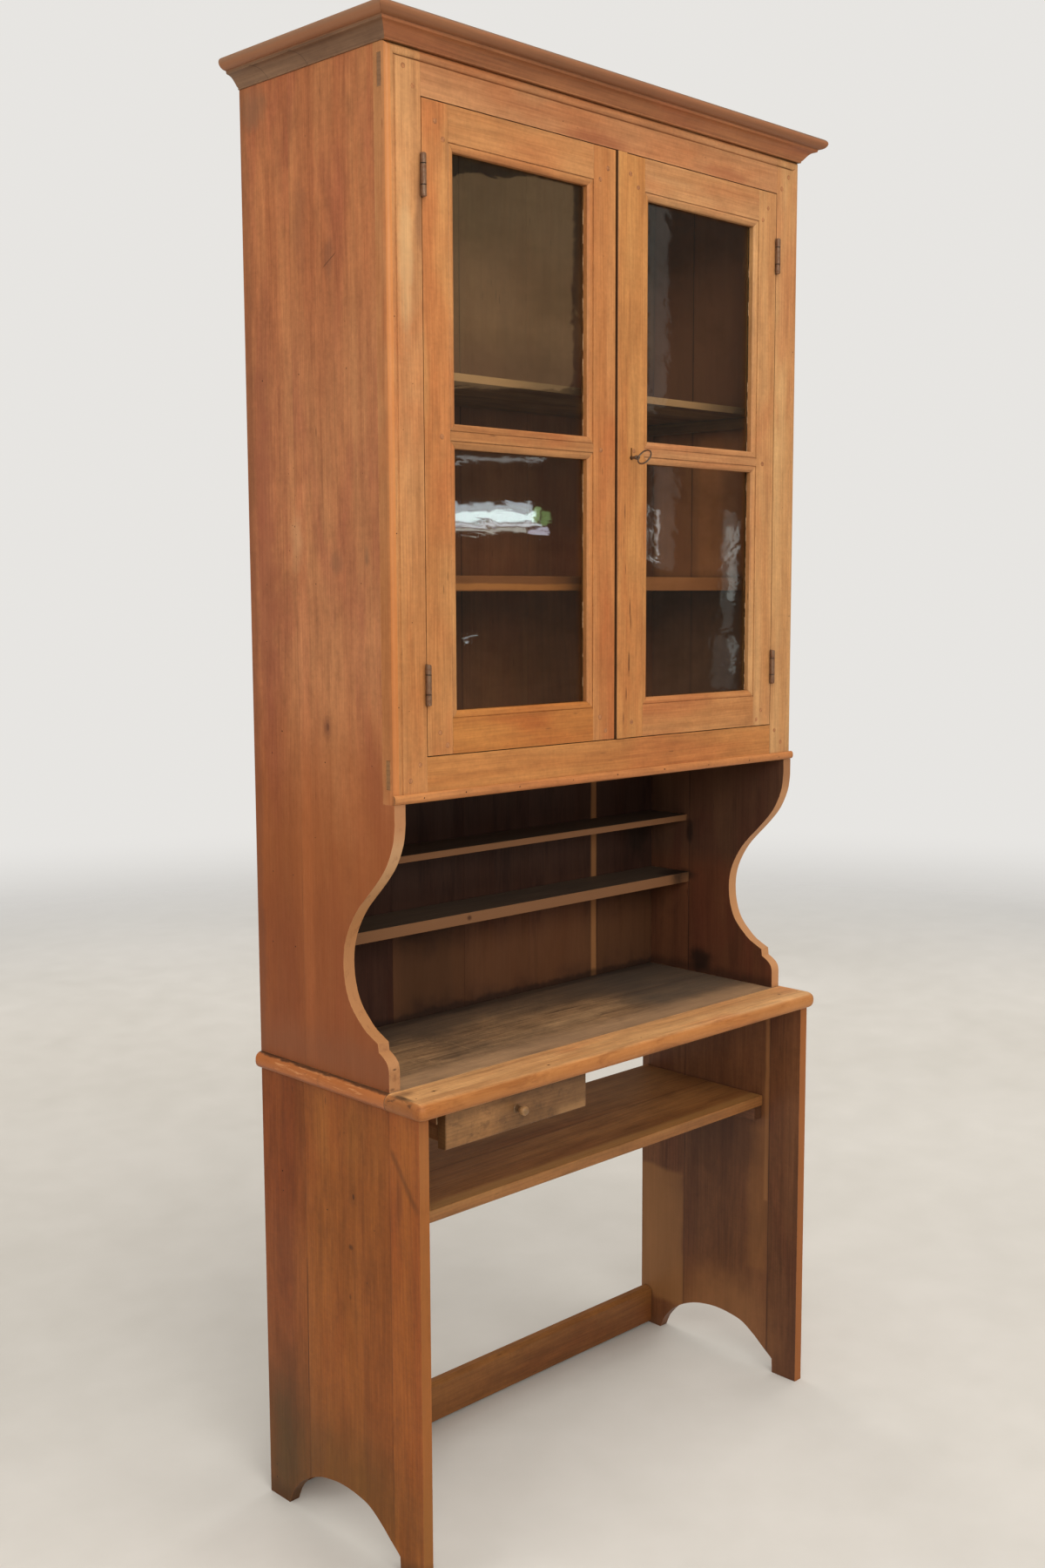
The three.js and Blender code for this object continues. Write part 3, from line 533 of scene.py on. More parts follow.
def line_mask(axes, start, end, width, soft=1.0, wobble=0.0):
    """1 along a line between two points of a face, given on two axes in millimetres, y from the face frame."""
    i, j = AXES[axes[0]], AXES[axes[1]]
    off = [(SHIFT if k == 1 else 0.0) for k in (i, j)]
    ax, ay = (start[0] + off[0]) / 1000.0, (start[1] + off[1]) / 1000.0
    bx, by = (end[0] + off[0]) / 1000.0, (end[1] + off[1]) / 1000.0
    length = math.hypot(bx - ax, by - ay)
    ux, uy = (bx - ax) / length, (by - ay) / length

    def fn(m, p, nrm, P):
        dx, dy = m.sub(p[i], ax), m.sub(p[j], ay)
        along = m.add(m.mul(dx, ux), m.mul(dy, uy))
        side = m.sub(m.mul(dx, uy), m.mul(dy, ux))
        if wobble:
            side = m.add(side, m.mul(m.sub(m.noise(P, 22.0, 3.0, 0.6), 0.5), wobble / 1000.0))
        ends = m.mul(m.smooth(along, 0.0, length * 0.15), m.smooth(along, length * 0.8, length, 1.0, 0.0))
        w = width / 1000.0
        return m.mul(ends, m.smooth(m.math("ABSOLUTE", side), w * (1.0 - soft) * 0.5, w, 1.0, 0.0))
    return fn


def iron(name, tone=(52, 42, 36), rust=(96, 56, 34), rough=0.55, worn=(120, 112, 102), metal=0.75, joints=()):
    """Old iron; joints are the heights, in millimetres, of dark lines round a barrel."""
    m = Mat(name)
    P = m.tc.outputs["Object"]
    n = m.noise(P, 130.0, 5.0, 0.65)
    r = m.noise(P, 420.0, 3.0, 0.6)
    col = m.mix(m.smooth(n, 0.42, 0.68), lin(tone), lin(rust))
    col = m.mix(m.mul(m.smooth(r, 0.5, 0.75), 0.5), col, lin(tuple(v * 0.5 for v in tone)))
    e = m.edge(0.0012, 0.03, 0.3)
    col = m.mix(m.mul(e, 0.55), col, lin(worn))
    for z in joints:
        d = m.math("ABSOLUTE", m.sub(m.split(P)[2], z / 1000.0))
        col = m.mix(m.smooth(d, 0.0004, 0.0012, 0.85, 0.0), col, lin((26, 18, 13)))
    bs = m.node("ShaderNodeBsdfPrincipled")
    m.put(bs.inputs["Base Color"], col)
    bs.inputs["Metallic"].default_value = metal
    m.put(bs.inputs["Roughness"], m.linear(n, 0.3, 0.7, rough - 0.12, rough + 0.15))
    m.put(bs.inputs["Normal"], m.bump(m.add(n, m.mul(r, 0.4)), 0.0003, 0.6))
    m.put(m.out.inputs["Surface"], bs.outputs[0])
    return m.mat


def glass(name, seed, sx=0.7, sz=1.4, depth=0.000085):
    """Old drawn glass: it mirrors a little, more at a glance, and its surface is wavy."""
    m = Mat(name)
    p = m.split(m.tc.outputs["Object"])
    v = m.xyz(m.add(m.mul(p[0], sx), seed), p[1], m.mul(p[2], sz))
    wave = m.add(m.noise(v, 21.0, 2.0, 0.5, 0.6), m.mul(m.noise(v, 75.0, 1.0), 0.07))
    normal = m.bump(wave, depth, 1.0)
    lw = m.node("ShaderNodeLayerWeight")
    m.put(lw.inputs["Normal"], normal)
    fres = m.add(m.mul(m.math("POWER", lw.outputs["Facing"], 5.0), 0.9), 0.042)
    clear = m.node("ShaderNodeBsdfTransparent")
    dust = m.smooth(m.noise(v, 6.0, 4.0, 0.6), 0.4, 0.8)
    m.put(clear.inputs["Color"], m.mix(dust, lin((245, 247, 242)), lin((228, 229, 220))))
    mirror = m.node("ShaderNodeBsdfGlossy")
    mirror.inputs["Roughness"].default_value = 0.02
    mirror.inputs["Color"].default_value = lin((250, 251, 250))
    m.put(mirror.inputs["Normal"], normal)
    mx = m.node("ShaderNodeMixShader")
    m.put(mx.inputs[0], fres)
    m.put(mx.inputs[1], clear.outputs[0])
    m.put(mx.inputs[2], mirror.outputs[0])
    m.put(m.out.inputs["Surface"], mx.outputs[0])
    return m.mat


# ---------------------------------------------------------------- floor
def set_floor():
    bpy.ops.mesh.primitive_plane_add(size=26.0, location=(0, 0, 0))
    floor = bpy.context.object
    floor.name = "floor"
    m = Mat("pale_floor")
    P = m.tc.outputs["Object"]
    p = m.split(P)
    n = m.noise(P, 0.8, 4.0, 0.6)
    n2 = m.noise(P, 9.0, 4.0, 0.6)
    col = m.mix(m.linear(m.add(m.mul(n, 0.7), m.mul(n2, 0.3)), 0.35, 0.65), lin((198, 193, 184)), lin((208, 203, 195)))
    bs = m.node("ShaderNodeBsdfPrincipled")
    m.put(bs.inputs["Base Color"], col)
    m.put(bs.inputs["Roughness"], m.linear(n2, 0.3, 0.7, 0.6, 0.8))
    bs.inputs["Specular IOR Level"].default_value = 0.2
    m.put(bs.inputs["Normal"], m.bump(n2, 0.0005, 0.3))
    # far out the floor fades into the plain backdrop
    far = m.smooth(m.math("SQRT", m.add(m.mul(p[0], p[0]), m.mul(p[1], p[1]))), 2.6, 7.5)
    air = m.node("ShaderNodeBsdfTransparent")
    mx = m.node("ShaderNodeMixShader")
    m.put(mx.inputs[0], far)
    m.put(mx.inputs[1], bs.outputs[0])
    m.put(mx.inputs[2], air.outputs[0])
    m.put(m.out.inputs["Surface"], mx.outputs[0])
    floor.data.materials.append(m.mat)


# ---------------------------------------------------------------- shading of the carried-over nodes
def smooth_group():
    """Geometry nodes that smooth faces whose edge is blunter than 38 degrees."""
    ng = bpy.data.node_groups.new("soft_normals", "GeometryNodeTree")
    ng.interface.new_socket("Geometry", in_out="INPUT", socket_type="NodeSocketGeometry")
    ng.interface.new_socket("Geometry", in_out="OUTPUT", socket_type="NodeSocketGeometry")
    gi = ng.nodes.new("NodeGroupInput")
    go = ng.nodes.new("NodeGroupOutput")
    face = ng.nodes.new("GeometryNodeSetShadeSmooth")
    face.domain = "FACE"
    edge = ng.nodes.new("GeometryNodeSetShadeSmooth")
    edge.domain = "EDGE"
    ang = ng.nodes.new("GeometryNodeInputMeshEdgeAngle")
    cmp = ng.nodes.new("FunctionNodeCompare")
    cmp.data_type = "FLOAT"
    cmp.operation = "LESS_EQUAL"
    cmp.inputs[1].default_value = math.radians(38.0)
    ng.links.new(ang.outputs[0], cmp.inputs[0])
    ng.links.new(gi.outputs[0], face.inputs[0])
    ng.links.new(face.outputs[0], edge.inputs[0])
    ng.links.new(cmp.outputs[0], edge.inputs[2])
    ng.links.new(edge.outputs[0], go.inputs[0])
    return ng


SOFT = None


def soften(ob, width, segments=2, angle=30.0):
    """Rounds a piece's arrises and gives it clean normals."""
    global SOFT
    SOFT = SOFT or smooth_group()
    w = ob.modifiers.new("weld", "WELD")
    w.merge_threshold = 0.00002
    if width:
        b = ob.modifiers.new("arris", "BEVEL")
        b.width = width
        b.segments = segments
        b.limit_method = "ANGLE"
        b.angle_limit = math.radians(angle)
        b.use_clamp_overlap = True
        b.harden_normals = False
        b.miter_outer = "MITER_ARC"
    s = ob.modifiers.new("soft", "NODES")
    s.node_group = SOFT
    n = ob.modifiers.new("weighted", "WEIGHTED_NORMAL")
    n.keep_sharp = True
    n.weight = 50


def dress(name, material, width=0.0012, segments=2, angle=30.0):
    ob = NODES[name]
    ob.data.materials.clear()
    ob.data.materials.append(material)
    soften(ob, width, segments, angle)
    return ob


# ---------------------------------------------------------------- extra pieces
def new_object(name, bm, material, body):
    mesh = bpy.data.meshes.new(name)
    bmesh.ops.recalc_face_normals(bm, faces=bm.faces)
    bm.to_mesh(mesh)
    bm.free()
    ob = bpy.data.objects.new(name, mesh)
    scene.collection.objects.link(ob)
    mesh.materials.append(material)
    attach(ob, body)
    return ob


def bm_box(bm, lo, hi):
    vs = [bm.verts.new((x, y, z)) for x in (lo[0], hi[0]) for y in (lo[1], hi[1]) for z in (lo[2], hi[2])]
    for f in ((0, 1, 3, 2), (4, 6, 7, 5), (0, 4, 5, 1), (2, 3, 7, 6), (0, 2, 6, 4), (1, 5, 7, 3)):
        bm.faces.new([vs[i] for i in f])


def bm_disc(bm, centre, axis, radius, depth, crown=0.0, sides=20, squash=1.0, turn=0.0):
    """A short round plug along -axis from centre, with a slightly crowned face."""
    axis = Vector(axis).normalized()
    u = axis.orthogonal().normalized()
    v = axis.cross(u)
    rings = []
    for rr, h in ((radius, -depth), (radius, -0.0001), (radius * 0.86, crown * 0.6), (radius * 0.5, crown)):
        ring = []
        for i in range(sides):
            a = 2 * math.pi * i / sides + turn
            ring.append(bm.verts.new(centre + u * (rr * math.cos(a)) + v * (rr * squash * math.sin(a)) + axis * h))
        rings.append(ring)
    for r0, r1 in zip(rings, rings[1:]):
        for i in range(sides):
            j = (i + 1) % sides
            bm.faces.new((r0[i], r0[j], r1[j], r1[i]))
    bm.faces.new(rings[0][::-1])
    top = bm.verts.new(centre + axis * crown * 1.05)
    for i in range(sides):
        bm.faces.new((rings[-1][i], rings[-1][(i + 1) % sides], top))


# ---------------------------------------------------------------- the materials of this cupboard
set_camera()
set_lights()
set_floor()

TONES = {
    "frame_stile_left": (0.84, 0.80, 0.76), "frame_stile_right": (0.85, 0.98, 1.08), "frame_rail_top": (0.82, 0.84, 0.87),
    "frame_rail_bottom": (0.83, 0.79, 0.69), "frame_bead_bottom": (0.86, 0.83, 0.78),
    "left_door_stile_hinge": (0.83, 0.88, 0.86), "left_door_stile_meeting": (0.77, 0.74, 0.69), "left_door_rail_top": (0.76, 0.80, 0.82),
    "left_door_rail_bottom": (0.72, 0.63, 0.41), "left_door_rail_middle": (0.67, 0.70, 0.72), "right_door_stile_meeting": (0.77, 0.73, 0.60), "right_door_stile_hinge": (0.82, 0.88, 0.93),
    "right_door_rail_top": (0.79, 0.84, 0.93), "right_door_rail_bottom": (0.75, 0.71, 0.66),
    "niche_shelf_upper": (0.8, 0.78, 0.78), "niche_shelf_lower": (0.8, 0.78, 0.78),
    "side_panel_right": (0.90, 0.96, 1.02), "desk_top_board": (1.42, 1.50, 1.60), "desk_front_board": (1.08, 1.12, 1.15),
    "drawer_front": (0.775, 0.67, 0.58), "base_side_left": (0.79, 0.67, 0.41), "base_side_right": (1.0, 0.88, 0.84), "base_shelf": (0.93, 0.89, 0.75),
    "base_stretcher": (0.94, 0.89, 0.59), "cornice_front": (0.84, 0.86, 0.86),
}
mats = {}


def make(node, fn, *args, **kw):
    """The material of one node, with that node's tone."""
    TONE[:] = TONES.get(node, (1.0, 1.0, 1.0))
    mats[node] = fn(node + "_finish", *args, **kw)
    TONE[:] = (1.0, 1.0, 1.0)


def twin(node, source, seed):
    """The same finish from another part of the tree."""
    mats[node] = mats[source].copy()
    mats[node].name = node + "_finish"
    mats[node].node_tree.nodes["seed"].outputs[0].default_value = seed


def golden(node, grain, across, seed, **kw):
    args = dict(light=(208, 150, 94), mid=(194, 130, 76), dark=(168, 102, 56), red=(188, 112, 64), rough=(0.44, 0.62), spots=0.40,
                edge_colour=(216, 160, 104), grime=0.42, grime_colour=(86, 44, 22), grime_size=0.006, mottle=0.36, streak=0.66)
    args.update(kw)
    make(node, wood, grain, across, seed=seed, **args)


OUTSIDE = (164, 97, 56)
# near black, painted as the shade in the narrow gap between the doors
GAP_SHADE = (26, 15, 10)
golden("frame_stile_left", "z", "x", 3.1, light=(214, 160, 106), mid=(198, 142, 90), dark=(160, 104, 64), zones=[
    (OUTSIDE, 0.9, both(face_mask("x", -1), box_mask(x=(-460, -456)))),
    ((216, 140, 78), 0.6, box_mask(x=(-457.6, -448), y=(-2, 4), z=(1150, 2230), soft=0.0005)),
    ((112, 72, 50), 0.60, spot_mask((-399, 0, 1982), 34, 0.5, (0.40, 1, 2.4))),
    ((150, 104, 66), 0.35, spot_mask((-408, 0, 1890), 50, 0.6, (0.3, 1, 2.2))),
    ((218, 184, 134), 0.40, spot_mask((-424, 0, 1930), 60, 0.6, (0.28, 1, 2.6))),
    ((0.90, 0.78, 0.64), 1.0, box_mask(z=(1100, 1560), soft=0.22), "tint")])
golden("frame_stile_right", "z", "x", 9.7, zones=[(OUTSIDE, 0.9, both(face_mask("x", 1), box_mask(x=(456, 460))))])
golden("frame_rail_top", "x", "z", 5.9, light=(200, 140, 90), mid=(184, 122, 76), dark=(150, 88, 52), end_colour=(128, 98, 72), zones=[
    ((140, 70, 42), 0.55, spot_mask((-30, 0, 2146), 60, 0.6, (1.9, 1, 0.35))),
    ((150, 80, 50), 0.40, spot_mask((250, 0, 2150), 50, 0.6, (1.8, 1, 0.35)))])
golden("frame_rail_bottom", "x", "z", 12.4, light=(200, 138, 80), mid=(186, 120, 66), dark=(150, 88, 46), end_colour=(128, 98, 72))
golden("frame_bead_bottom", "x", "z", 2.2, light=(198, 134, 80), mid=(182, 116, 66), dark=(140, 82, 46), edge_amount=0.2)
golden("desk_front_board", "x", "y", 21.3, light=(200, 148, 96), mid=(186, 130, 80), dark=(140, 92, 56), smudge=0.5, scratches=0.18, mottle=0.34, zones=[
    ((154, 88, 30), 0.72, both(face_mask("y", -1, 0.2, 0.8), box_mask(y=(-70, -48)))),
    ((147, 80, 36), 0.70, box_mask(x=(-475, -461), y=(-55, 18), soft=0.002)),
    ((0.92, 0.92, 0.86), 1.0, box_mask(x=(-475, -461), y=(-55, 18), soft=0.002), "tint"),
    ((0.86, 0.82, 0.80), 0.9, scuff_mask((5, 60, 30), 0.52, 0.66), "tint"),
    ((96, 54, 30), 0.60, both(box_mask(x=(-475, -461), y=(-56, 18)), scuff_mask((90, 22, 60), 0.54, 0.66))),
    ((64, 40, 26), 0.70, both(box_mask(x=(-476, -464), y=(-40, 12), z=(729, 740), soft=0.002, rough=0.006, scale=60.0), scuff_mask((90, 34, 120), 0.51, 0.60))),
    ((0.74, 0.69, 0.64), 0.85, both(box_mask(y=(-70, -50), soft=0.004), scuff_mask((9, 70, 50), 0.50, 0.62)), "tint"),
    ((1.16, 1.14, 1.10), 1.0, both(face_mask("z", 1), scuff_mask((6, 40, 10), 0.50, 0.66)), "tint"),
    ((50, 34, 24), 0.85, spot_mask((-459, -12, 739), 28, 0.6, (0.26, 1.1, 0.5))),
    ((92, 60, 40), 0.55, spot_mask((-448, 2, 740), 26, 0.8, (0.9, 0.7, 0.5))),
    ((66, 44, 30), 0.8, spot_mask((-405, -18, 740), 5, 0.3, (1.8, 0.6, 1))),
    ((66, 44, 30), 0.7, spot_mask((-195, -42, 740), 5, 0.3, (1.0, 0.7, 1))),
    ((60, 42, 32), 0.8, spot_mask((408, -20, 740), 4, 0.3, (0.7, 1.5, 1)))])
# painted shade in the gap, on the meeting edge of the left door: near black low down, dark brown higher up
meeting = [(GAP_SHADE, 0.80, box_mask(x=(-6.0, -5.2), z=(1100, 1700), soft=0.0004), "late"), ((70, 36, 20), 0.6, box_mask(x=(-6.0, -5.3), z=(1700, 2200), soft=0.0004), "late")]
left_tones = dict(light=(206, 142, 86), mid=(192, 124, 70), dark=(166, 96, 50), red=(186, 104, 56))
golden("left_door_stile_hinge", "z", "x", 31.0, **left_tones)
golden("left_door_stile_meeting", "z", "x", 33.3, zones=meeting, **left_tones)
golden("left_door_rail_top", "x", "z", 35.1, **left_tones)
golden("left_door_rail_middle", "x", "z", 37.7, **left_tones)
golden("left_door_rail_bottom", "x", "z", 39.2, **left_tones)
golden("right_door_stile_meeting", "z", "x", 41.9, dashes=1.0, zones=[
    ((70, 36, 22), 0.8, spot_mask((x, -2, z), r, 0.4, (0.22, 1, 2.6), 60.0)) for x, z, r in (
        (14, 1590, 7), (12, 1545, 5), (30, 1440, 9), (32, 1415, 7), (16, 1500, 5), (28, 1350, 11), (22, 1300, 7), (12, 1262, 6))] + [
            # painted shade on the side face of the right door's strip, in the gap between the doors
            (GAP_SHADE, 0.85, both(box_mask(x=(-4.2, -2.9), soft=0.0005), face_mask("x", -1, 0.3, 0.8)), "late")])
golden("right_door_stile_hinge", "z", "x", 43.4)
golden("right_door_rail_top", "x", "z", 45.8)
twin("right_door_rail_middle", "right_door_rail_top", 47.1)
golden("right_door_rail_bottom", "x", "z", 49.5)

make("cornice_front", wood, "x", "z", (182, 118, 74), (166, 102, 62), (124, 74, 46), red=(172, 100, 62), seed=51.0, streak=0.5, edge_colour=(190, 134, 92),
     zones=[((134, 90, 62), 0.65, box_mask(z=(2223, 2250), soft=0.0015)), ((118, 100, 84), 0.45, box_mask(z=(2237, 2250), soft=0.002, rough=0.004)), ((70, 54, 42), 0.6, box_mask(z=(2239.5, 2250), soft=0.0008, rough=0.002))])
scarf = [((46, 32, 24), 0.85, both(arc_line((266 + 17, 2203), 17), box_mask(z=(2190, 2221), soft=0.001))),
         ((46, 32, 24), 0.85, both(arc_line((170 + 17, 2203), 17), box_mask(z=(2190, 2221), soft=0.001)))]
side_band = [((158, 104, 70), 0.75, box_mask(z=(2223, 2250), soft=0.0015)), ((128, 104, 84), 0.45, box_mask(z=(2232, 2250), soft=0.003, rough=0.006))]
make("cornice_left", wood, "y", "z", (136, 104, 78), (118, 86, 62), (92, 64, 46), seed=53.0, streak=0.5, blotch=0.6, edge_colour=(168, 126, 92), zones=side_band + scarf)
make("cornice_right", wood, "y", "z", (140, 104, 76), (122, 86, 60), (92, 62, 44), seed=54.0, streak=0.5, blotch=0.6, edge_colour=(168, 126, 92), zones=side_band)

side_left_zones = [
    ((146, 78, 52), 0.55, spot_mask((-458, 300, 1500), 60, 0.6, (1, 0.6, 7))),
    ((128, 84, 56), 0.45, spot_mask((-458, 124, 1506), 24, 0.6, (1, 1.0, 1.0))),
    ((112, 80, 54), 0.50, spot_mask((-458, 54, 1514), 14, 0.6, (1, 0.6, 1.6))),
    ((196, 140, 92), 0.50, spot_mask((-458, 218, 1535), 26, 0.6, (1, 0.8, 2.4))),
    ((108, 66, 46), 0.60, spot_mask((-458, 154, 1266), 13, 0.6, (1, 1.0, 1.7))),
    ((120, 74, 52), 0.50, spot_mask((-458, 130, 1932), 22, 0.7, (1, 0.7, 2.0))),
    ((132, 84, 56), 0.35, spot_mask((-458, 200, 1990), 34, 0.7, (1, 0.7, 2.6))),
    ((122, 92, 66), 0.50, spot_mask((-458, 310, 2170), 40, 0.6, (1, 1.2, 1.0))),
    ((140, 76, 46), 0.45, spot_mask((-458, 40, 1180), 60, 0.6, (1, 0.8, 2.0))),
    ((140, 74, 28), 0.78, box_mask(z=(500, 1200), soft=0.16, rough=0.2, scale=3.0)),
    ((0.98, 1.05, 1.13), 1.0, box_mask(z=(1280, 1850), soft=0.12), "tint"),
    ((0.86, 0.80, 0.76), 1.0, box_mask(z=(700, 1010), soft=0.09, rough=0.08), "tint"),
    ((0.84, 0.80, 0.78), 0.7, both(box_mask(z=(740, 1700), soft=0.1), scuff_mask((20, 16, 7), 0.52, 0.72)), "tint"),
    ((1.22, 1.24, 1.28), 0.75, box_mask(y=(196, 222), z=(750, 1620), soft=0.007, rough=0.012), "tint"),
    ((0.86, 0.84, 0.82), 0.8, box_mask(y=(236, 300), z=(800, 1500), soft=0.02, rough=0.05), "tint"),
    ((84, 48, 30), 0.75, line_mask("yz", (146, 1921), (112, 1940), 1.3, 0.8, 1.5)),
    ((112, 66, 42), 0.50, box_mask(y=(325, 345), rough=0.03)),
    ((120, 72, 44), 0.45, box_mask(z=(735, 800), soft=0.03, rough=0.05))]
inside_left = [((112, 68, 43), 0.88, both(face_mask("x", 1), box_mask(x=(-441, -436)))),
               ((0.80, 0.78, 0.80), 1.0, both(face_mask("x", 1), box_mask(z=(700, 1206), soft=0.01)), "tint")]
make("side_panel_left", wood, "z", "y", (182, 118, 72), (168, 100, 60), (144, 80, 48), red=(160, 88, 58), seed=61.0, seams=[223], tones=[(1, 1, 1), (1.0, 0.96, 0.96)], seam_amount=0.25,
     streak=0.62, mottle=0.42, knots=[(154, 1266, 4)], spots=0.55, edge_colour=(204, 142, 92), seam_width=0.0003,
     zones=side_left_zones + inside_left + [
         ((190, 142, 97), 0.9, both(face_mask("y", -1, 0.1, 0.4), box_mask(y=(0, 260), z=(700, 1200)))),
         ((0.78, 0.61, 0.46), 0.9, both(face_mask("y", -1, 0.1, 0.4), box_mask(y=(0, 260), z=(730, 1010), soft=0.05, rough=0.05)), "tint"),
         ((120, 70, 42), 0.42, both(face_mask("y", -1, 0.1, 0.4), scuff_mask((90, 90, 34), 0.52, 0.70))),
         ((1.0, 1.08, 1.18), 1.0, both(face_mask("y", -1, 0.1, 0.4), box_mask(y=(0, 260), z=(700, 1200))), "tint"),
         ((92, 52, 32), 0.45, both(face_mask("y", -1, 0.1, 0.4), box_mask(z=(740, 800), soft=0.006), scuff_mask((60, 60, 44), 0.50, 0.72))),
         ((52, 30, 20), 0.80, spot_mask((-449, 25, 788), 3.2, 0.2, (1.7, 1.2, 0.7))),
         ((52, 30, 20), 0.75, spot_mask((-447, 20, 773), 3.0, 0.2, (1.8, 1.2, 0.7))),
         ((52, 30, 20), 0.70, spot_mask((-452, 24, 744), 6.0, 0.4, (1.4, 1.6, 0.6)))])
facing_in = face_mask("x", -1)
inside_right = [(c, k, both(facing_in, fn)) + tuple(flags) for c, k, fn, *flags in (
    ((168, 104, 62), 0.45, box_mask(x=(430, 439), z=(1216, 2240), soft=0.002)),
    ((38, 26, 20), 0.85, spot_mask((438, 190, 765), 46, 0.5, (1, 0.9, 0.7))),
    ((38, 26, 20), 0.80, spot_mask((438, 232, 925), 30, 0.6, (1, 1.2, 0.5))),
    ((38, 26, 20), 0.70, spot_mask((438, 222, 1010), 24, 0.6, (1, 0.5, 1.2))),
    ((38, 26, 20), 0.55, box_mask(z=(735, 756), soft=0.01, rough=0.02)),
    # painted light and shade on the inner face: a darker, cooler tint high in the niche, and lighter tints inside the
    # upper case, strongest in its middle section
    ((0.72, 0.90, 1.12), 1.0, box_mask(z=(960, 1206), soft=0.03), "tint"),
    ((1.42, 1.48, 1.90), 1.0, box_mask(z=(1795, 2230), soft=0.02), "tint"),
    ((1.38, 1.52, 2.00), 1.0, box_mask(z=(1226, 1462), soft=0.01), "tint"),
    ((1.5, 1.45, 1.30), 0.6, both(box_mask(z=(1488, 1745)), box_mask(y=(150, 205), soft=0.010, rough=0.012)), "tint"),
    ((2.55, 2.62, 2.75), 1.0, box_mask(y=(40, 320), z=(1488, 1745), soft=0.02, rough=0.03), "tint"))]
make("side_panel_right", wood, "z", "y", (122, 74, 46), (104, 60, 38), (76, 42, 27), red=(110, 58, 38), seed=63.0, seams=[223], streak=0.45, spots=0.35,
     edge_colour=(190, 130, 84), edge_amount=0.55, zones=[
         ((172, 106, 64), 0.92, both(face_mask("x", 1), box_mask(x=(455, 460)))),
         ((196, 136, 86), 0.9, both(face_mask("y", -1, 0.1, 0.4), box_mask(y=(0, 260), z=(700, 1200))))] + inside_right)
inner = dict(light=(118, 76, 46), mid=(96, 60, 37), dark=(64, 38, 25), red=(96, 54, 34), ring_amount=0.28, streak=0.6, blotch=0.6, smudge=0.5, rough=(0.5, 0.75), spec=0.22,
             grime=0.55, edge_amount=0.2)
back = {**inner, "light": (224, 172, 116), "mid": (214, 160, 110), "dark": (164, 114, 76), "red": (198, 132, 82), "ring_amount": 0.12, "grime": 0.35, "mottle": 0.20, "streak": 0.32, "blotch": 0.4, "smudge": 0.35}
def inward(m, p, nrm, P):
    return m.smooth(nrm[1], 0.35, 0.65, 1.0, 0.0)


def inner_zone(colour, amount, mask, *flags):
    """A zone on the inner face of the back boards, laid late; used for painted light and shade and for real marks."""
    return (colour, amount, both(inward, mask)) + flags + ("late",)


low_glow = inner_zone((110, 71, 40), 0.45, box_mask(z=(742, 880), soft=0.05, rough=0.09, scale=14.0))
# a ragged dark band along the foot of the back boards, just above the desk top
desk_line_dark_band = inner_zone((26, 18, 14), 0.62, box_mask(z=(736, 750), soft=0.005, rough=0.022, scale=24.0))
# painted light and shade on the boards' light wood, band by band in height, behind the upper and the lower panes and in
# the niche: darker in every band, most between the shelves and in the niche, which is near black; lighter just above
# the lower shelf and low in the middle of the niche. One tint adds the niche's real streaks, and the last zone is the
# colour of the boards' outer face
back_painted_light_shade_and_streaks = [inner_zone((0.36, 0.38, 0.46), 1.0, box_mask(z=(1785, 2400), soft=0.006), "tint"),
        inner_zone((1.0, 0.80, 0.76), 1.0, box_mask(z=(1785, 2060), soft=0.06, rough=0.05), "tint"),
        inner_zone((0.56, 0.38, 0.38), 1.0, box_mask(z=(1785, 1880), soft=0.05, rough=0.05), "tint"),
        inner_zone((0.34, 0.25, 0.30), 1.0, box_mask(z=(1724, 1784), soft=0.012, rough=0.02), "tint"),
        inner_zone((0.250, 0.167, 0.167), 1.0, box_mask(z=(1475, 1726), soft=0.012, rough=0.02), "tint"),
        inner_zone((1.5, 1.38, 1.30), 1.0, box_mask(z=(1480, 1560), soft=0.04, rough=0.06), "tint"),
        inner_zone((0.40, 0.268, 0.265), 1.0, box_mask(z=(1216, 1476), soft=0.01), "tint"),
        inner_zone((0.080, 0.062, 0.084), 1.0, box_mask(z=(600, 1214), soft=0.003), "tint"),
        inner_zone((0.80, 0.83, 0.85), 1.0, box_mask(z=(935, 1206), soft=0.02), "tint"),
        inner_zone((0.44, 0.48, 0.62), 1.0, box_mask(x=(-190, -76), z=(745, 905), soft=0.012, rough=0.03, scale=14.0), "tint"),
        inner_zone((1.50, 1.38, 1.28), 1.0, box_mask(x=(-30, 260), z=(760, 905), soft=0.02, rough=0.04, scale=14.0), "tint"),
        inner_zone((0.66, 0.64, 0.68), 0.9, both(box_mask(z=(600, 1206)), scuff_mask((46, 46, 5), 0.50, 0.66)), "tint"),
        ((122, 90, 66), 0.88, face_mask("y", 1, 0.6, 0.9), "late")]
make("back_board_left", wood, "z", "x", seed=71.0, seams=[-364], tones=[(0.92, 0.85, 0.82), (0.95, 0.88, 0.86)], zones=back_painted_light_shade_and_streaks + [desk_line_dark_band], **back)
make("back_board_centre", wood, "z", "x", seed=73.0, seams=[-47], tones=[(0.98, 0.95, 0.93), (1.06, 1.04, 1.0)], zones=back_painted_light_shade_and_streaks + [low_glow, desk_line_dark_band], **back)
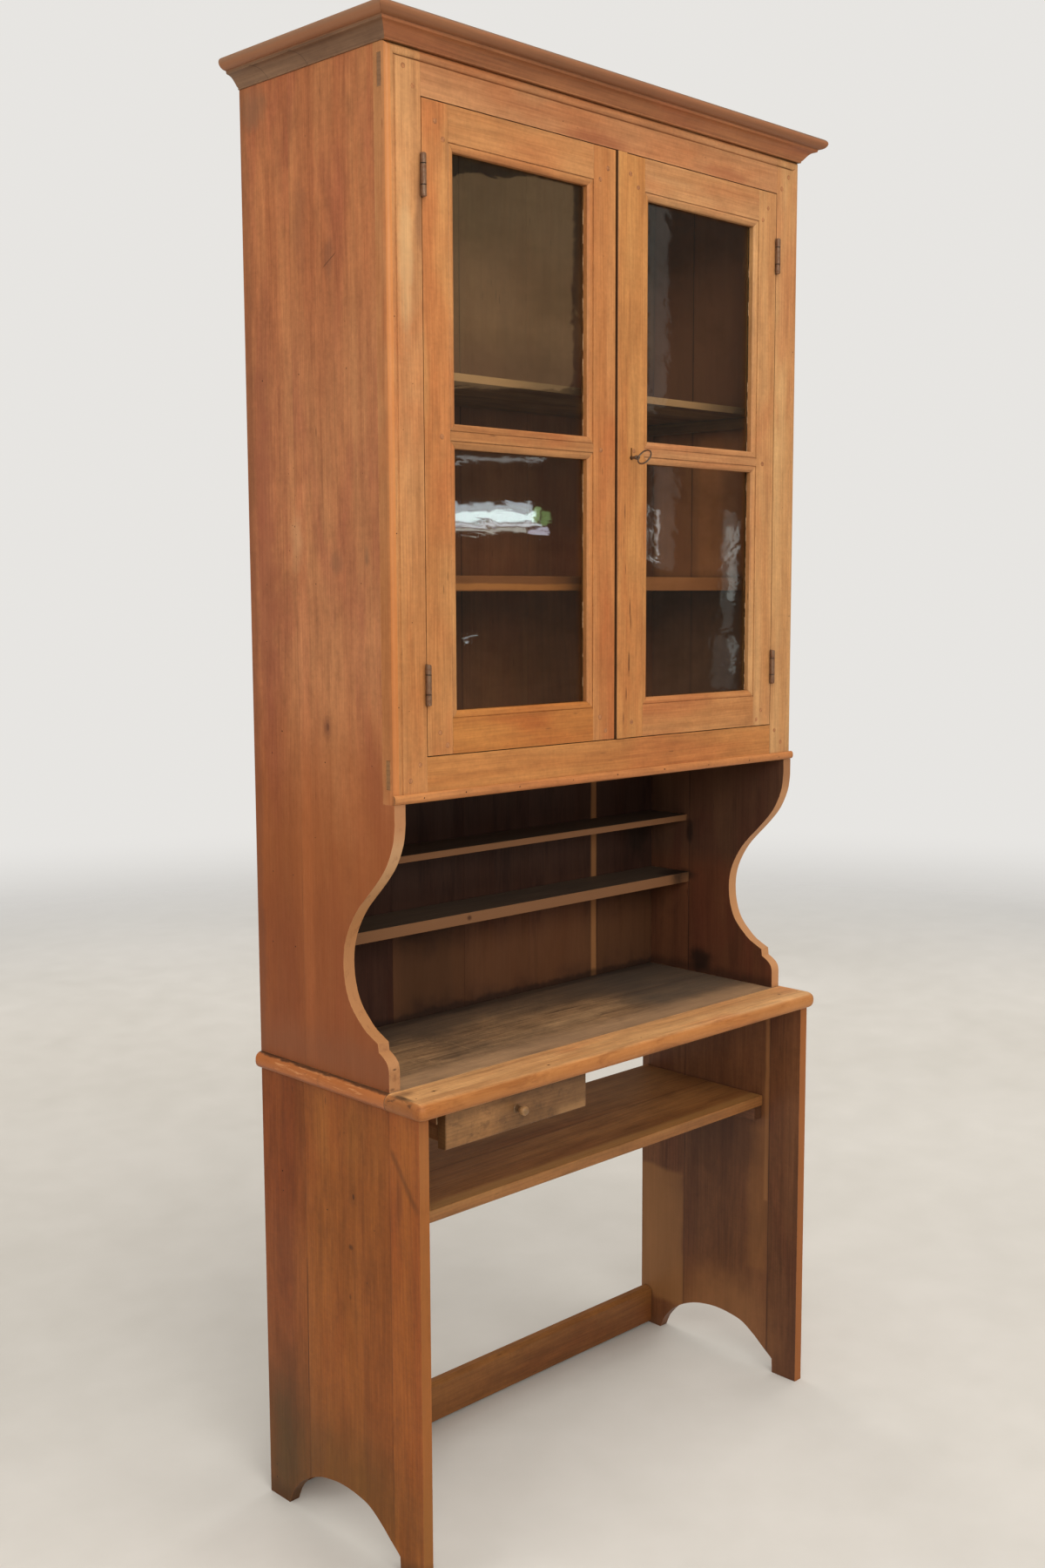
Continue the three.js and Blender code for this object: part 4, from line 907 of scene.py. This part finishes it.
make("back_board_right", wood, "z", "x", seed=75.0, seams=[285], tones=[(1.1, 1.05, 1.0), (1.1, 1.1, 1.1)], zones=back_painted_light_shade_and_streaks + [
    low_glow, inner_zone((160, 109, 65), 0.70, box_mask(x=(269.5, 283.5), z=(740, 1206), soft=0.003, rough=0.004)),
    inner_zone((30, 22, 16), 0.7, spot_mask((400, 320, 1000), 45, 0.6, (1, 1, 1.2))), desk_line_dark_band], **back)
make("top_board", wood, "x", "y", seed=77.0, seams=[110, 232], **{**inner, "light": (132, 98, 68), "mid": (110, 80, 54)})
make("cabinet_floor", wood, "x", "y", seed=79.0, **{**inner, "light": (132, 92, 60), "mid": (112, 74, 46)})
make("cabinet_shelf_upper", wood, "x", "y", seed=81.0, zones=[
    ((176, 130, 92), 0.8, face_mask("y", -1, 0.3, 0.7)),
    # painted shade on the shelf's front edge, in two stretches beside the door stiles
    ((60, 44, 34), 0.62, both(face_mask("y", -1, 0.3, 0.7), box_mask(x=(-150, 60), soft=0.05, rough=0.05))),
    ((60, 44, 34), 0.62, both(face_mask("y", -1, 0.3, 0.7), box_mask(x=(270, 450), soft=0.06, rough=0.05)))],
     **{**inner, "light": (150, 112, 76), "mid": (128, 90, 60), "dark": (92, 62, 42)})
make("cabinet_shelf_lower", wood, "x", "y", seed=83.0, zones=[
    ((146, 84, 46), 0.75, face_mask("y", -1, 0.3, 0.7)),
    ((190, 118, 62), 0.55, both(face_mask("y", -1, 0.3, 0.7), box_mask(x=(-430, 0), z=(1467, 1476), soft=0.0012, rough=0.006, scale=7.0))), ((86, 48, 29), 0.35, both(face_mask("y", -1, 0.3, 0.7), box_mask(x=(-430, 0), z=(1477, 1490), soft=0.0015, rough=0.005, scale=7.0)))],
    **{**inner, "light": (158, 104, 64), "mid": (136, 84, 50), "dark": (96, 58, 36)})
dusty = ((92, 84, 72), 0.60, both(face_mask("z", 1), box_mask(z=(900, 1100), soft=0.001)))
shelf_front = ((150, 106, 70), 0.8, face_mask("y", -1, 0.3, 0.7))
niche_kw = {**inner, "light": (112, 82, 58), "mid": (92, 66, 46), "dark": (60, 42, 30)}
make("niche_shelf_upper", wood, "x", "y", seed=85.0, zones=[dusty, shelf_front], **niche_kw)
make("niche_shelf_lower", wood, "x", "y", seed=87.0, zones=[dusty, shelf_front, ((36, 26, 20), 0.8, spot_mask((420, 240, 931), 40, 0.6, (1.3, 1, 1))),
     ((70, 40, 24), 0.8, spot_mask((-120, 223, 922), 6, 0.4, (1.2, 1, 1)))], **niche_kw)

make("desk_top_board", wood, "x", "y", (150, 114, 78), (124, 92, 62), (78, 58, 42), red=(104, 78, 54), seed=91.0, seams=[178], seam_width=0.0003, ring_amount=0.36, streak=0.85,
     blotch=0.85, smudge=0.75, rough=(0.38, 0.66), spots=0.7, scratches=0.35, mottle=0.62, haze=((74, 58, 44), 0.60), grime=0.8, spec=0.36, edge_colour=(150, 118, 84), zones=[
         ((0.72, 0.70, 0.70), 1.0, scuff_mask((4, 46, 10), 0.48, 0.64), "tint"), ((1.30, 1.27, 1.20), 1.0, scuff_mask((7, 30, 10), 0.54, 0.68), "tint"), ((1.14, 1.13, 1.10), 1.0, box_mask(y=(70, 215), soft=0.03), "tint"),
         # the back and the right of the top are darker, partly from the wood's own tone and partly from painted shade
         # deep in the niche; a darker band runs near the back boards
         ((66, 54, 44), 0.70, box_mask(y=(215, 345), soft=0.06, rough=0.13, scale=5.0)),
         ((70, 60, 50), 0.70, box_mask(x=(180, 470), y=(60, 345), soft=0.07, rough=0.16, scale=5.0)),
         ((142, 107, 76), 0.55, box_mask(y=(10, 70), soft=0.03, rough=0.05)),
         ((40, 30, 24), 0.6, box_mask(y=(300, 325), soft=0.01, rough=0.03)),
         ((147, 80, 36), 0.88, both(box_mask(x=(-475, -459), soft=0.0015))),
         ((106, 56, 28), 0.55, both(box_mask(x=(-475, -461), z=(712, 721), soft=0.002, rough=0.006, scale=30.0))),
         ((30, 20, 14), 0.70, both(box_mask(y=(18.0, 19.2), x=(-475, -462), soft=0.0004, rough=0.001)), "late"),
         ((1.0, 1.01, 0.93), 1.0, box_mask(x=(-475, -459), soft=0.0015), "tint"),
         ((184, 126, 78), 0.50, both(box_mask(x=(-475, -460), y=(70, 290), z=(724, 739), soft=0.003, rough=0.006, scale=60.0), scuff_mask((210, 26, 420), 0.53, 0.61))),
         ((96, 54, 30), 0.60, both(box_mask(x=(-475, -460), z=(712, 739)), scuff_mask((90, 22, 60), 0.56, 0.66))),
         ((40, 28, 20), 0.8, both(box_mask(x=(-466, -457), y=(10, 345), z=(738, 741), soft=0.0012, rough=0.006, scale=40.0)))])
base = dict(streak=0.62, spots=0.45, mottle=0.36)
make("base_side_left", wood, "z", "y", (160, 98, 58), (146, 84, 48), (118, 66, 38), red=(150, 82, 46), seed=101.0, seams=[22, 230], tones=[(1.08, 1.0, 0.95), (1, 1, 1), (0.94, 0.92, 0.94)],
     seam_width=0.0003, seam_amount=0.42, knots=[(110, 560, 3)], edge_colour=(186, 124, 76), zones=[
         ((92, 66, 44), 0.55, box_mask(y=(235, 345), z=(0, 260), soft=0.06, rough=0.08)),
         ((110, 72, 44), 0.40, box_mask(y=(20, 235), z=(60, 200), soft=0.05, rough=0.08)),
         ((98, 50, 30), 0.45, spot_mask((-458, 2, 575), 34, 0.4, (1, 0.30, 1.7))),
         ((166, 112, 80), 0.75, both(face_mask("y", -1), box_mask(y=(-50, -38)))),
         ((104, 56, 34), 0.35, spot_mask((-458, 290, 420), 60, 0.6, (1, 0.6, 2.0))),
         ((84, 48, 28), 0.50, line_mask("yz", (24, 662), (-46, 566), 9.0, 1.0, 8.0)),
         ((70, 40, 26), 0.70, spot_mask((-458, 118, 479), 8, 0.5, (1, 1.0, 0.8))),
         ((70, 40, 26), 0.55, spot_mask((-458, 121, 399), 5, 0.5, (1, 0.7, 1.6))),
         ((44, 26, 18), 0.80, line_mask("yz", (229, 440), (232, 190), 1.2, 0.7, 3.0)),
         ((86, 74, 52), 0.45, box_mask(y=(262, 345), z=(0, 200), soft=0.05, rough=0.08)),
         ((70, 52, 38), 0.5, box_mask(z=(-5, 22), soft=0.012, rough=0.03)),
         ((1.06, 1.09, 0.72), 1.0, box_mask(y=(-60, 235), z=(-10, 715), soft=0.05), "tint"),
         ((1.06, 1.14, 1.36), 1.0, box_mask(y=(-60, 225), z=(600, 715), soft=0.03, rough=0.03), "tint"),
         ((0.85, 0.72, 0.48), 1.0, box_mask(y=(235, 345), z=(480, 715), soft=0.05, rough=0.04), "tint"),
         ((0.80, 0.77, 0.75), 0.8, scuff_mask((18, 15, 5), 0.52, 0.70), "tint"),
         ((116, 76, 48), 0.86, both(face_mask("x", 1), box_mask(x=(-441, -436)))),
         ((0.84, 0.96, 0.90), 1.0, box_mask(y=(-60, 345), z=(-10, 150), soft=0.05), "tint")], **{**base, "spec": 0.24})
make("base_side_right", wood, "z", "y", (124, 84, 52), (102, 66, 40), (72, 44, 28), red=(98, 58, 36), seed=103.0, seams=[22, 230], edge_colour=(176, 120, 76), zones=[
    ((164, 102, 60), 0.9, both(face_mask("x", 1), box_mask(x=(455, 460)))),
    ((158, 96, 36), 0.85, both(face_mask("y", -1), box_mask(y=(-50, -38)))),
    ((142, 104, 62), 0.65, both(facing_in, box_mask(y=(232, 345), z=(60, 330), soft=0.006, rough=0.02))),
    ((150, 108, 66), 0.50, both(facing_in, box_mask(y=(20, 232), z=(20, 160), soft=0.05, rough=0.10))),
    ((150, 106, 60), 0.45, both(facing_in, box_mask(y=(25, 70), z=(190, 470), soft=0.012, rough=0.03))),
    ((160, 116, 70), 0.60, both(facing_in, box_mask(y=(24, 33), z=(330, 700), soft=0.003, rough=0.008))),
    # painted shade on the inner face below the base shelf, stronger towards the top
    ((58, 36, 25), 0.40, both(facing_in, box_mask(y=(60, 230), z=(150, 500), soft=0.08, rough=0.14))),
    ((58, 36, 25), 0.42, both(facing_in, box_mask(y=(60, 230), z=(370, 520), soft=0.08, rough=0.14)))], **base)
make("base_shelf", wood, "x", "y", (160, 110, 66), (138, 90, 52), (92, 60, 36), red=(130, 80, 46), seed=105.0, seams=[170], seam_width=0.0003, edge_colour=(198, 144, 92), ring_amount=0.26,
     zones=[((66, 46, 32), 0.65, box_mask(y=(180, 345), z=(520, 540), soft=0.05, rough=0.08)), ((186, 140, 86), 0.45, box_mask(y=(40, 62), z=(525, 540), soft=0.006, rough=0.01))], **base)
make("shelf_cleat_left", wood, "y", "z", (120, 78, 50), (100, 62, 40), (70, 42, 28), seed=107.0, **base)
twin("shelf_cleat_right", "shelf_cleat_left", 108.0)
make("base_stretcher", wood, "x", "z", (142, 94, 58), (122, 76, 45), (88, 52, 32), red=(118, 68, 40), seed=111.0, **base)
make("drawer_runner_left", wood, "y", "z", (150, 104, 68), (128, 84, 54), (84, 54, 36), seed=113.0, zones=[((196, 158, 118), 0.8, face_mask("y", -1, 0.4, 0.8))], **base)
twin("drawer_runner_right", "drawer_runner_left", 114.0)
make("drawer_front", wood, "x", "z", (158, 122, 82), (140, 104, 66), (104, 74, 48), seed=117.0, ring_amount=0.30, streak=0.55, blotch=0.55,
     # painted light on the left of the front, and painted shade of the desk's nosing towards the middle
     spots=0.6, mottle=0.55, haze=((124, 98, 68), 0.5), edge_colour=(170, 138, 96), zones=[((1.50, 1.50, 1.44), 1.0, box_mask(x=(-420, -290), soft=0.04), "tint"), ((0.88, 0.88, 0.88), 1.0, box_mask(x=(-280, -60), soft=0.03), "tint"), ((84, 66, 46), 0.25, box_mask(x=(-400, -340), soft=0.02, rough=0.03)),
                                                                         ((88, 66, 46), 0.35, box_mask(z=(694, 712), soft=0.006, rough=0.012)),
                                                                         ((84, 64, 45), 0.42, scuff_mask((52, 52, 90), 0.52, 0.68)),
                                                                         ((186, 150, 104), 0.5, box_mask(x=(-160, -96), z=(640, 662), soft=0.01, rough=0.02))])
make("drawer_side_left", wood, "y", "z", (166, 122, 80), (146, 102, 64), (104, 68, 42), seed=119.0, **base)
twin("drawer_side_right", "drawer_side_left", 120.0)
make("drawer_back", wood, "x", "z", (166, 122, 80), (146, 102, 64), (104, 68, 42), seed=123.0, **base)
make("drawer_bottom", wood, "x", "y", (160, 120, 82), (138, 98, 64), (98, 66, 42), seed=125.0, seams=[120], **base)
make("drawer_knob", wood, "y", "z", (186, 146, 100), (164, 124, 82), (116, 82, 52), seed=127.0, streak=0.5, rough=(0.30, 0.45), spots=0.2,
     # painted shade on the knob's neck and rosette, at its base
     zones=[((62, 44, 31), 0.80, box_mask(y=(-35.5, -20), soft=0.0015))])
for i, node in enumerate(("left_door_glass_upper", "left_door_glass_lower", "right_door_glass_upper", "right_door_glass_lower")):
    make(node, glass, 3.3 * i, *((0.7, 1.4, 0.000085) if i < 2 else (1.1, 1.5, 0.00012)))
hinge_iron = iron("hinge_iron", (128, 98, 74), (116, 76, 50), 0.50, (196, 162, 130), 0.30, [z + h for z in (1302, 2006) for h in (16, 44.5)])
lock_iron = iron("lock_iron", (60, 50, 42), (100, 62, 40), 0.5)
steel = iron("worn_steel", (122, 108, 94), (104, 82, 64), 0.40, (184, 172, 156), 0.75)
for node in NODES:
    if node.startswith("hinge_"):
        mats[node] = hinge_iron
mats["lock_case"] = lock_iron
mats["lock_bolt"] = steel
mats["key"] = steel

WIDTHS = {"desk_front_board": 0.0, "desk_top_board": 0.0008, "drawer_knob": 0.0004, "key": 0.0002, "lock_bolt": 0.0003, "lock_case": 0.0006, "drawer_front": 0.0005,
          "cornice_front": 0.0005, "cornice_left": 0.0005, "cornice_right": 0.0005, "frame_bead_bottom": 0.0004, "cabinet_shelf_upper": 0.0016,
          "cabinet_shelf_lower": 0.0016, "niche_shelf_upper": 0.0015, "niche_shelf_lower": 0.0016, "base_shelf": 0.0020, "base_side_left": 0.0020,
          "base_side_right": 0.0020, "side_panel_left": 0.0018, "side_panel_right": 0.0018}
for n in sorted(NODES):
    width = WIDTHS.get(n, 0.0010)
    if "glass" in n:
        width = 0.0
    elif n.startswith("hinge_"):
        width = 0.0003
    elif "_door_" in n or n.startswith("frame_"):
        width = min(width, 0.0006)
    dress(n, mats[n], width)

# ---------------------------------------------------------------- small pieces
def plain_wood(name, tone, dark, rough=0.6):
    """End grain of pegs, putty and the like: fine mottling."""
    m = Mat(name)
    P = m.tc.outputs["Object"]
    n = m.noise(P, 260.0, 4.0, 0.65)
    n2 = m.noise(P, 60.0, 3.0, 0.6)
    col = m.mix(m.smooth(m.add(m.mul(n, 0.6), m.mul(n2, 0.4)), 0.36, 0.64), lin(tone), lin(dark))
    bs = m.node("ShaderNodeBsdfPrincipled")
    m.put(bs.inputs["Base Color"], col)
    m.put(bs.inputs["Roughness"], m.linear(n, 0.3, 0.7, rough - 0.1, rough + 0.12))
    bs.inputs["Specular IOR Level"].default_value = 0.25
    m.put(bs.inputs["Normal"], m.bump(n, 0.0002, 0.6))
    m.put(m.out.inputs["Surface"], bs.outputs[0])
    return m.mat


peg_wood = plain_wood("peg_wood", (178, 120, 76), (136, 88, 56))
gap_dark = plain_wood("peg_gap", (122, 72, 42), (84, 48, 30), 0.75)
nail_iron = iron("nail_iron", (46, 36, 30), (88, 52, 32), 0.6)
putty = plain_wood("old_putty", (146, 122, 92), (104, 82, 58), 0.8)
pale_putty = plain_wood("pale_putty", (190, 152, 112), (132, 92, 60), 0.8)

PEGS = {
    "root": [(-426, 2174), (-409, 2151), (-409, 1218), (-427, 1196), (427, 2172), (409, 2150), (409, 1218), (427, 1196)],
    "left_door": [(-370, 2112), (-356, 2090), (-23, 2109), (-40, 2090), (-362.5, 1683), (-37.6, 1683), (-371, 1262), (-357, 1243), (-39, 1266), (-26, 1244)],
    "right_door": [(28, 2110), (46, 2092), (372, 2112), (358, 2091), (38, 1686), (365, 1683), (35, 1254), (370, 1256), (357, 1240)],
}
rng = random.Random(7)
for body, spots in PEGS.items():
    heads, gaps = bmesh.new(), bmesh.new()
    for x, z in spots:
        r = rng.uniform(3.4, 4.1) / 1000.0
        turn, squash = rng.uniform(0, 3), rng.uniform(0.90, 1.0)
        bm_disc(heads, mm(x, -0.02, z), (0, -1, 0), r, 0.004, 0.00022, 18, squash, turn)
        bm_disc(gaps, mm(x + rng.uniform(-0.1, 0.1), 0.0, z), (0, -1, 0), r + 0.00055, 0.002, 0.00003, 24, squash, turn)
    for kind, bm, material in (("pegs", heads, peg_wood), ("peg_gaps", gaps, gap_dark)):
        ob = new_object(f"{kind}_{body}", bm, material, body)
        for poly in ob.data.polygons:
            poly.use_smooth = True


def nails(name, places, material, body, sunk=0.0):
    bm = bmesh.new()
    for (x, y, z), axis, r in places:
        bm_disc(bm, mm(x, y, z), axis, r / 1000.0, 0.003, 0.00018 - sunk, 14, rng.uniform(0.7, 1.0), rng.uniform(0, 3))
    ob = new_object(name, bm, material, body)
    for poly in ob.data.polygons:
        poly.use_smooth = True
    return ob


lo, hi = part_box("frame_bead_bottom")
bead_front = lo[1] * 1000.0 - SHIFT
bead_mid = (lo[2] + hi[2]) * 500.0
nails("bead_nails", [((x, bead_front + 0.05, bead_mid + rng.uniform(-1.2, 1.2)), (0, -1, 0), rng.uniform(1.1, 1.6))
                     for x in (-406, -326, -218, -103, -2, 111, 224, 334, 418)], nail_iron, "root")
side_nails = []
for sign in (-1, 1):
    for z, ys in ((1476, (68, 178, 296)), (1216, (46, 160, 290)), (1778, (96, 205, 300)), (921, (240, 300)), (1035, (246, 302)), (2229, (70, 190, 310))):
        for y in ys:
            side_nails.append(((sign * 457.46, y + rng.uniform(-4, 4), z + rng.uniform(-3, 3)), (sign, 0, 0), rng.uniform(1.0, 1.5)))
    for y in (60, 175, 290):
        side_nails.append(((sign * 457.46, y, 522 + rng.uniform(-2, 2)), (sign, 0, 0), rng.uniform(1.1, 1.5)))
    for z in (30, 52):
        side_nails.append(((sign * 457.46, 324, z), (sign, 0, 0), 1.4))
nails("side_nails", side_nails, nail_iron, "root")
back_nails = []
for x in (-430, -385, -345, -225, -190, -65, -28, 92, 125, 265, 302, 430):
    for z in (2232, 1778, 1476, 1216, 921, 752):
        back_nails.append(((x + rng.uniform(-5, 5), 335.46, z + rng.uniform(-3, 3)), (0, 1, 0), rng.uniform(1.5, 2.1)))
nails("back_nails", back_nails, nail_iron, "root")
nails("desk_nails", [((x, y, 739.96), (0, 0, 1), rng.uniform(1.2, 1.7)) for x, y in (
    (-405, -18), (-195, -42), (408, -20), (-447, -28), (448, -30), (20, -38))], nail_iron, "root")
nails("stile_nails", [((x, -0.02, z), (0, -1, 0), 1.0) for x, z in ((-447, 1302), (-447, 1545), (-446, 1840), (447, 1420), (446, 1880))], nail_iron, "root")

worm = plain_wood("worm_hole", (34, 20, 14), (22, 13, 9), 0.85)
holes = [((-457.46, 230 + rng.uniform(-9, 9), rng.uniform(1506, 1654)), (-1, 0, 0), rng.uniform(0.55, 0.95)) for _ in range(13)]
holes += [((-457.46, y, z), (-1, 0, 0), r) for y, z, r in ((267, 1253, 1.5), (96, 1842, 0.8), (302, 1388, 0.9), (188, 1098, 0.8), (61, 1630, 0.7), (291, 555, 1.5), (130, 655, 0.8))]
holes += [((x, -0.02, z), (0, -1, 0), r) for x, z, r in ((-421, 1421, 0.8), (-433, 1688, 0.7), (-415, 1752, 0.8), (-428, 1296, 0.7), (424, 1610, 0.7), (-120, 2160, 0.8), (206, 2166, 0.7))]
nails("worm_holes", holes, worm, "root")

# a ragged bead of old putty left on the face of the glass, along the right edge of each pane
for body, (xa, xb) in (("left_door", (-346.7, -54.5)), ("right_door", (61.5, 348.0))):
    bm = bmesh.new()
    for z0, z1 in ((1691.4, 2088.5), (1281.0, 1678.8)):
        z = z0 + 12.0
        while z < z1 - 14.0:
            length = rng.uniform(5.0, 26.0)
            if rng.random() < 0.55:
                steps = max(3, int(length / 1.8))
                rows = []
                for i in range(steps + 1):
                    zz = min(z + length * i / steps, z1 - 12.0)
                    w = rng.uniform(0.15, 0.65) * (0.3 if i in (0, steps) else 1.0)
                    rows.append([bm.verts.new(mm(xb - 10.9, 12.28, zz)), bm.verts.new(mm(xb - 10.9, 11.4, zz)), bm.verts.new(mm(xb - 11.1 - w * 0.6, 11.7, zz)), bm.verts.new(mm(xb - 11.2 - w, 12.28, zz))])
                for r0, r1 in zip(rows, rows[1:]):
                    for i in range(4):
                        j = (i + 1) % 4
                        bm.faces.new((r0[i], r0[j], r1[j], r1[i]))
                bm.faces.new(rows[0][::-1])
                bm.faces.new(rows[-1])
            z += length + rng.uniform(1.0, 16.0)
    new_object(f"putty_trace_{body}", bm, pale_putty, body)

# putty fillets that hold the panes, behind them in the rebate
LIGHTS = {"upper": (1691.4, 2088.5), "lower": (1281.0, 1678.8)}
FLATS = {"left_door": (-346.7, -54.5), "right_door": (61.5, 348.0)}
for body, (xa, xb) in FLATS.items():
    bm = bmesh.new()
    for z0, z1 in LIGHTS.values():
        rings = []
        outer = 0.3
        steps = 26
        for k, (t, y) in enumerate(((outer, 15.0), (9.4, 15.0), (8.6, 15.9), (outer, 23.2))):
            pts = []
            xs0, xs1, zs0, zs1 = xa + t, xb - t, z0 + t, z1 - t
            corners = [(xs0, zs0), (xs1, zs0), (xs1, zs1), (xs0, zs1)]
            for i in range(4):
                (ax, az_), (bx, bz) = corners[i], corners[(i + 1) % 4]
                for j in range(steps):
                    f = j / steps
                    wob = 0.0 if j == 0 or k in (0, 3) else rng.uniform(-0.55, 0.25)
                    px, pz = ax + (bx - ax) * f, az_ + (bz - az_) * f
                    if i == 0:
                        pz += wob
                    elif i == 1:
                        px -= wob
                    elif i == 2:
                        pz -= wob
                    else:
                        px += wob
                    pts.append(bm.verts.new(mm(px, y + (rng.uniform(-0.2, 0.2) if k == 2 else 0.0), pz)))
            rings.append(pts)
        n = len(rings[0])
        for r0, r1 in zip(rings, rings[1:] + rings[:1]):
            for i in range(n):
                j = (i + 1) % n
                bm.faces.new((r0[i], r0[j], r1[j], r1[i]))
    new_object(f"putty_{body}", bm, putty, body)

# cleats under the upper cabinet shelf
TONE[:] = (1.0, 1.0, 1.0)
make("cleats", wood, "y", "z", (150, 108, 70), (128, 88, 56), (90, 58, 38), seed=131.0, spots=0.3)
for side, sign in (("left", -1), ("right", 1)):
    bm = bmesh.new()
    x0, x1 = sorted((sign * 437.2, sign * 419.4))
    bm_box(bm, mm(x0, 63, 1753.6), mm(x1, 317, 1771.7))
    ob = new_object(f"cabinet_cleat_{side}", bm, mats["cleats"], "root")
    soften(ob, 0.0012)
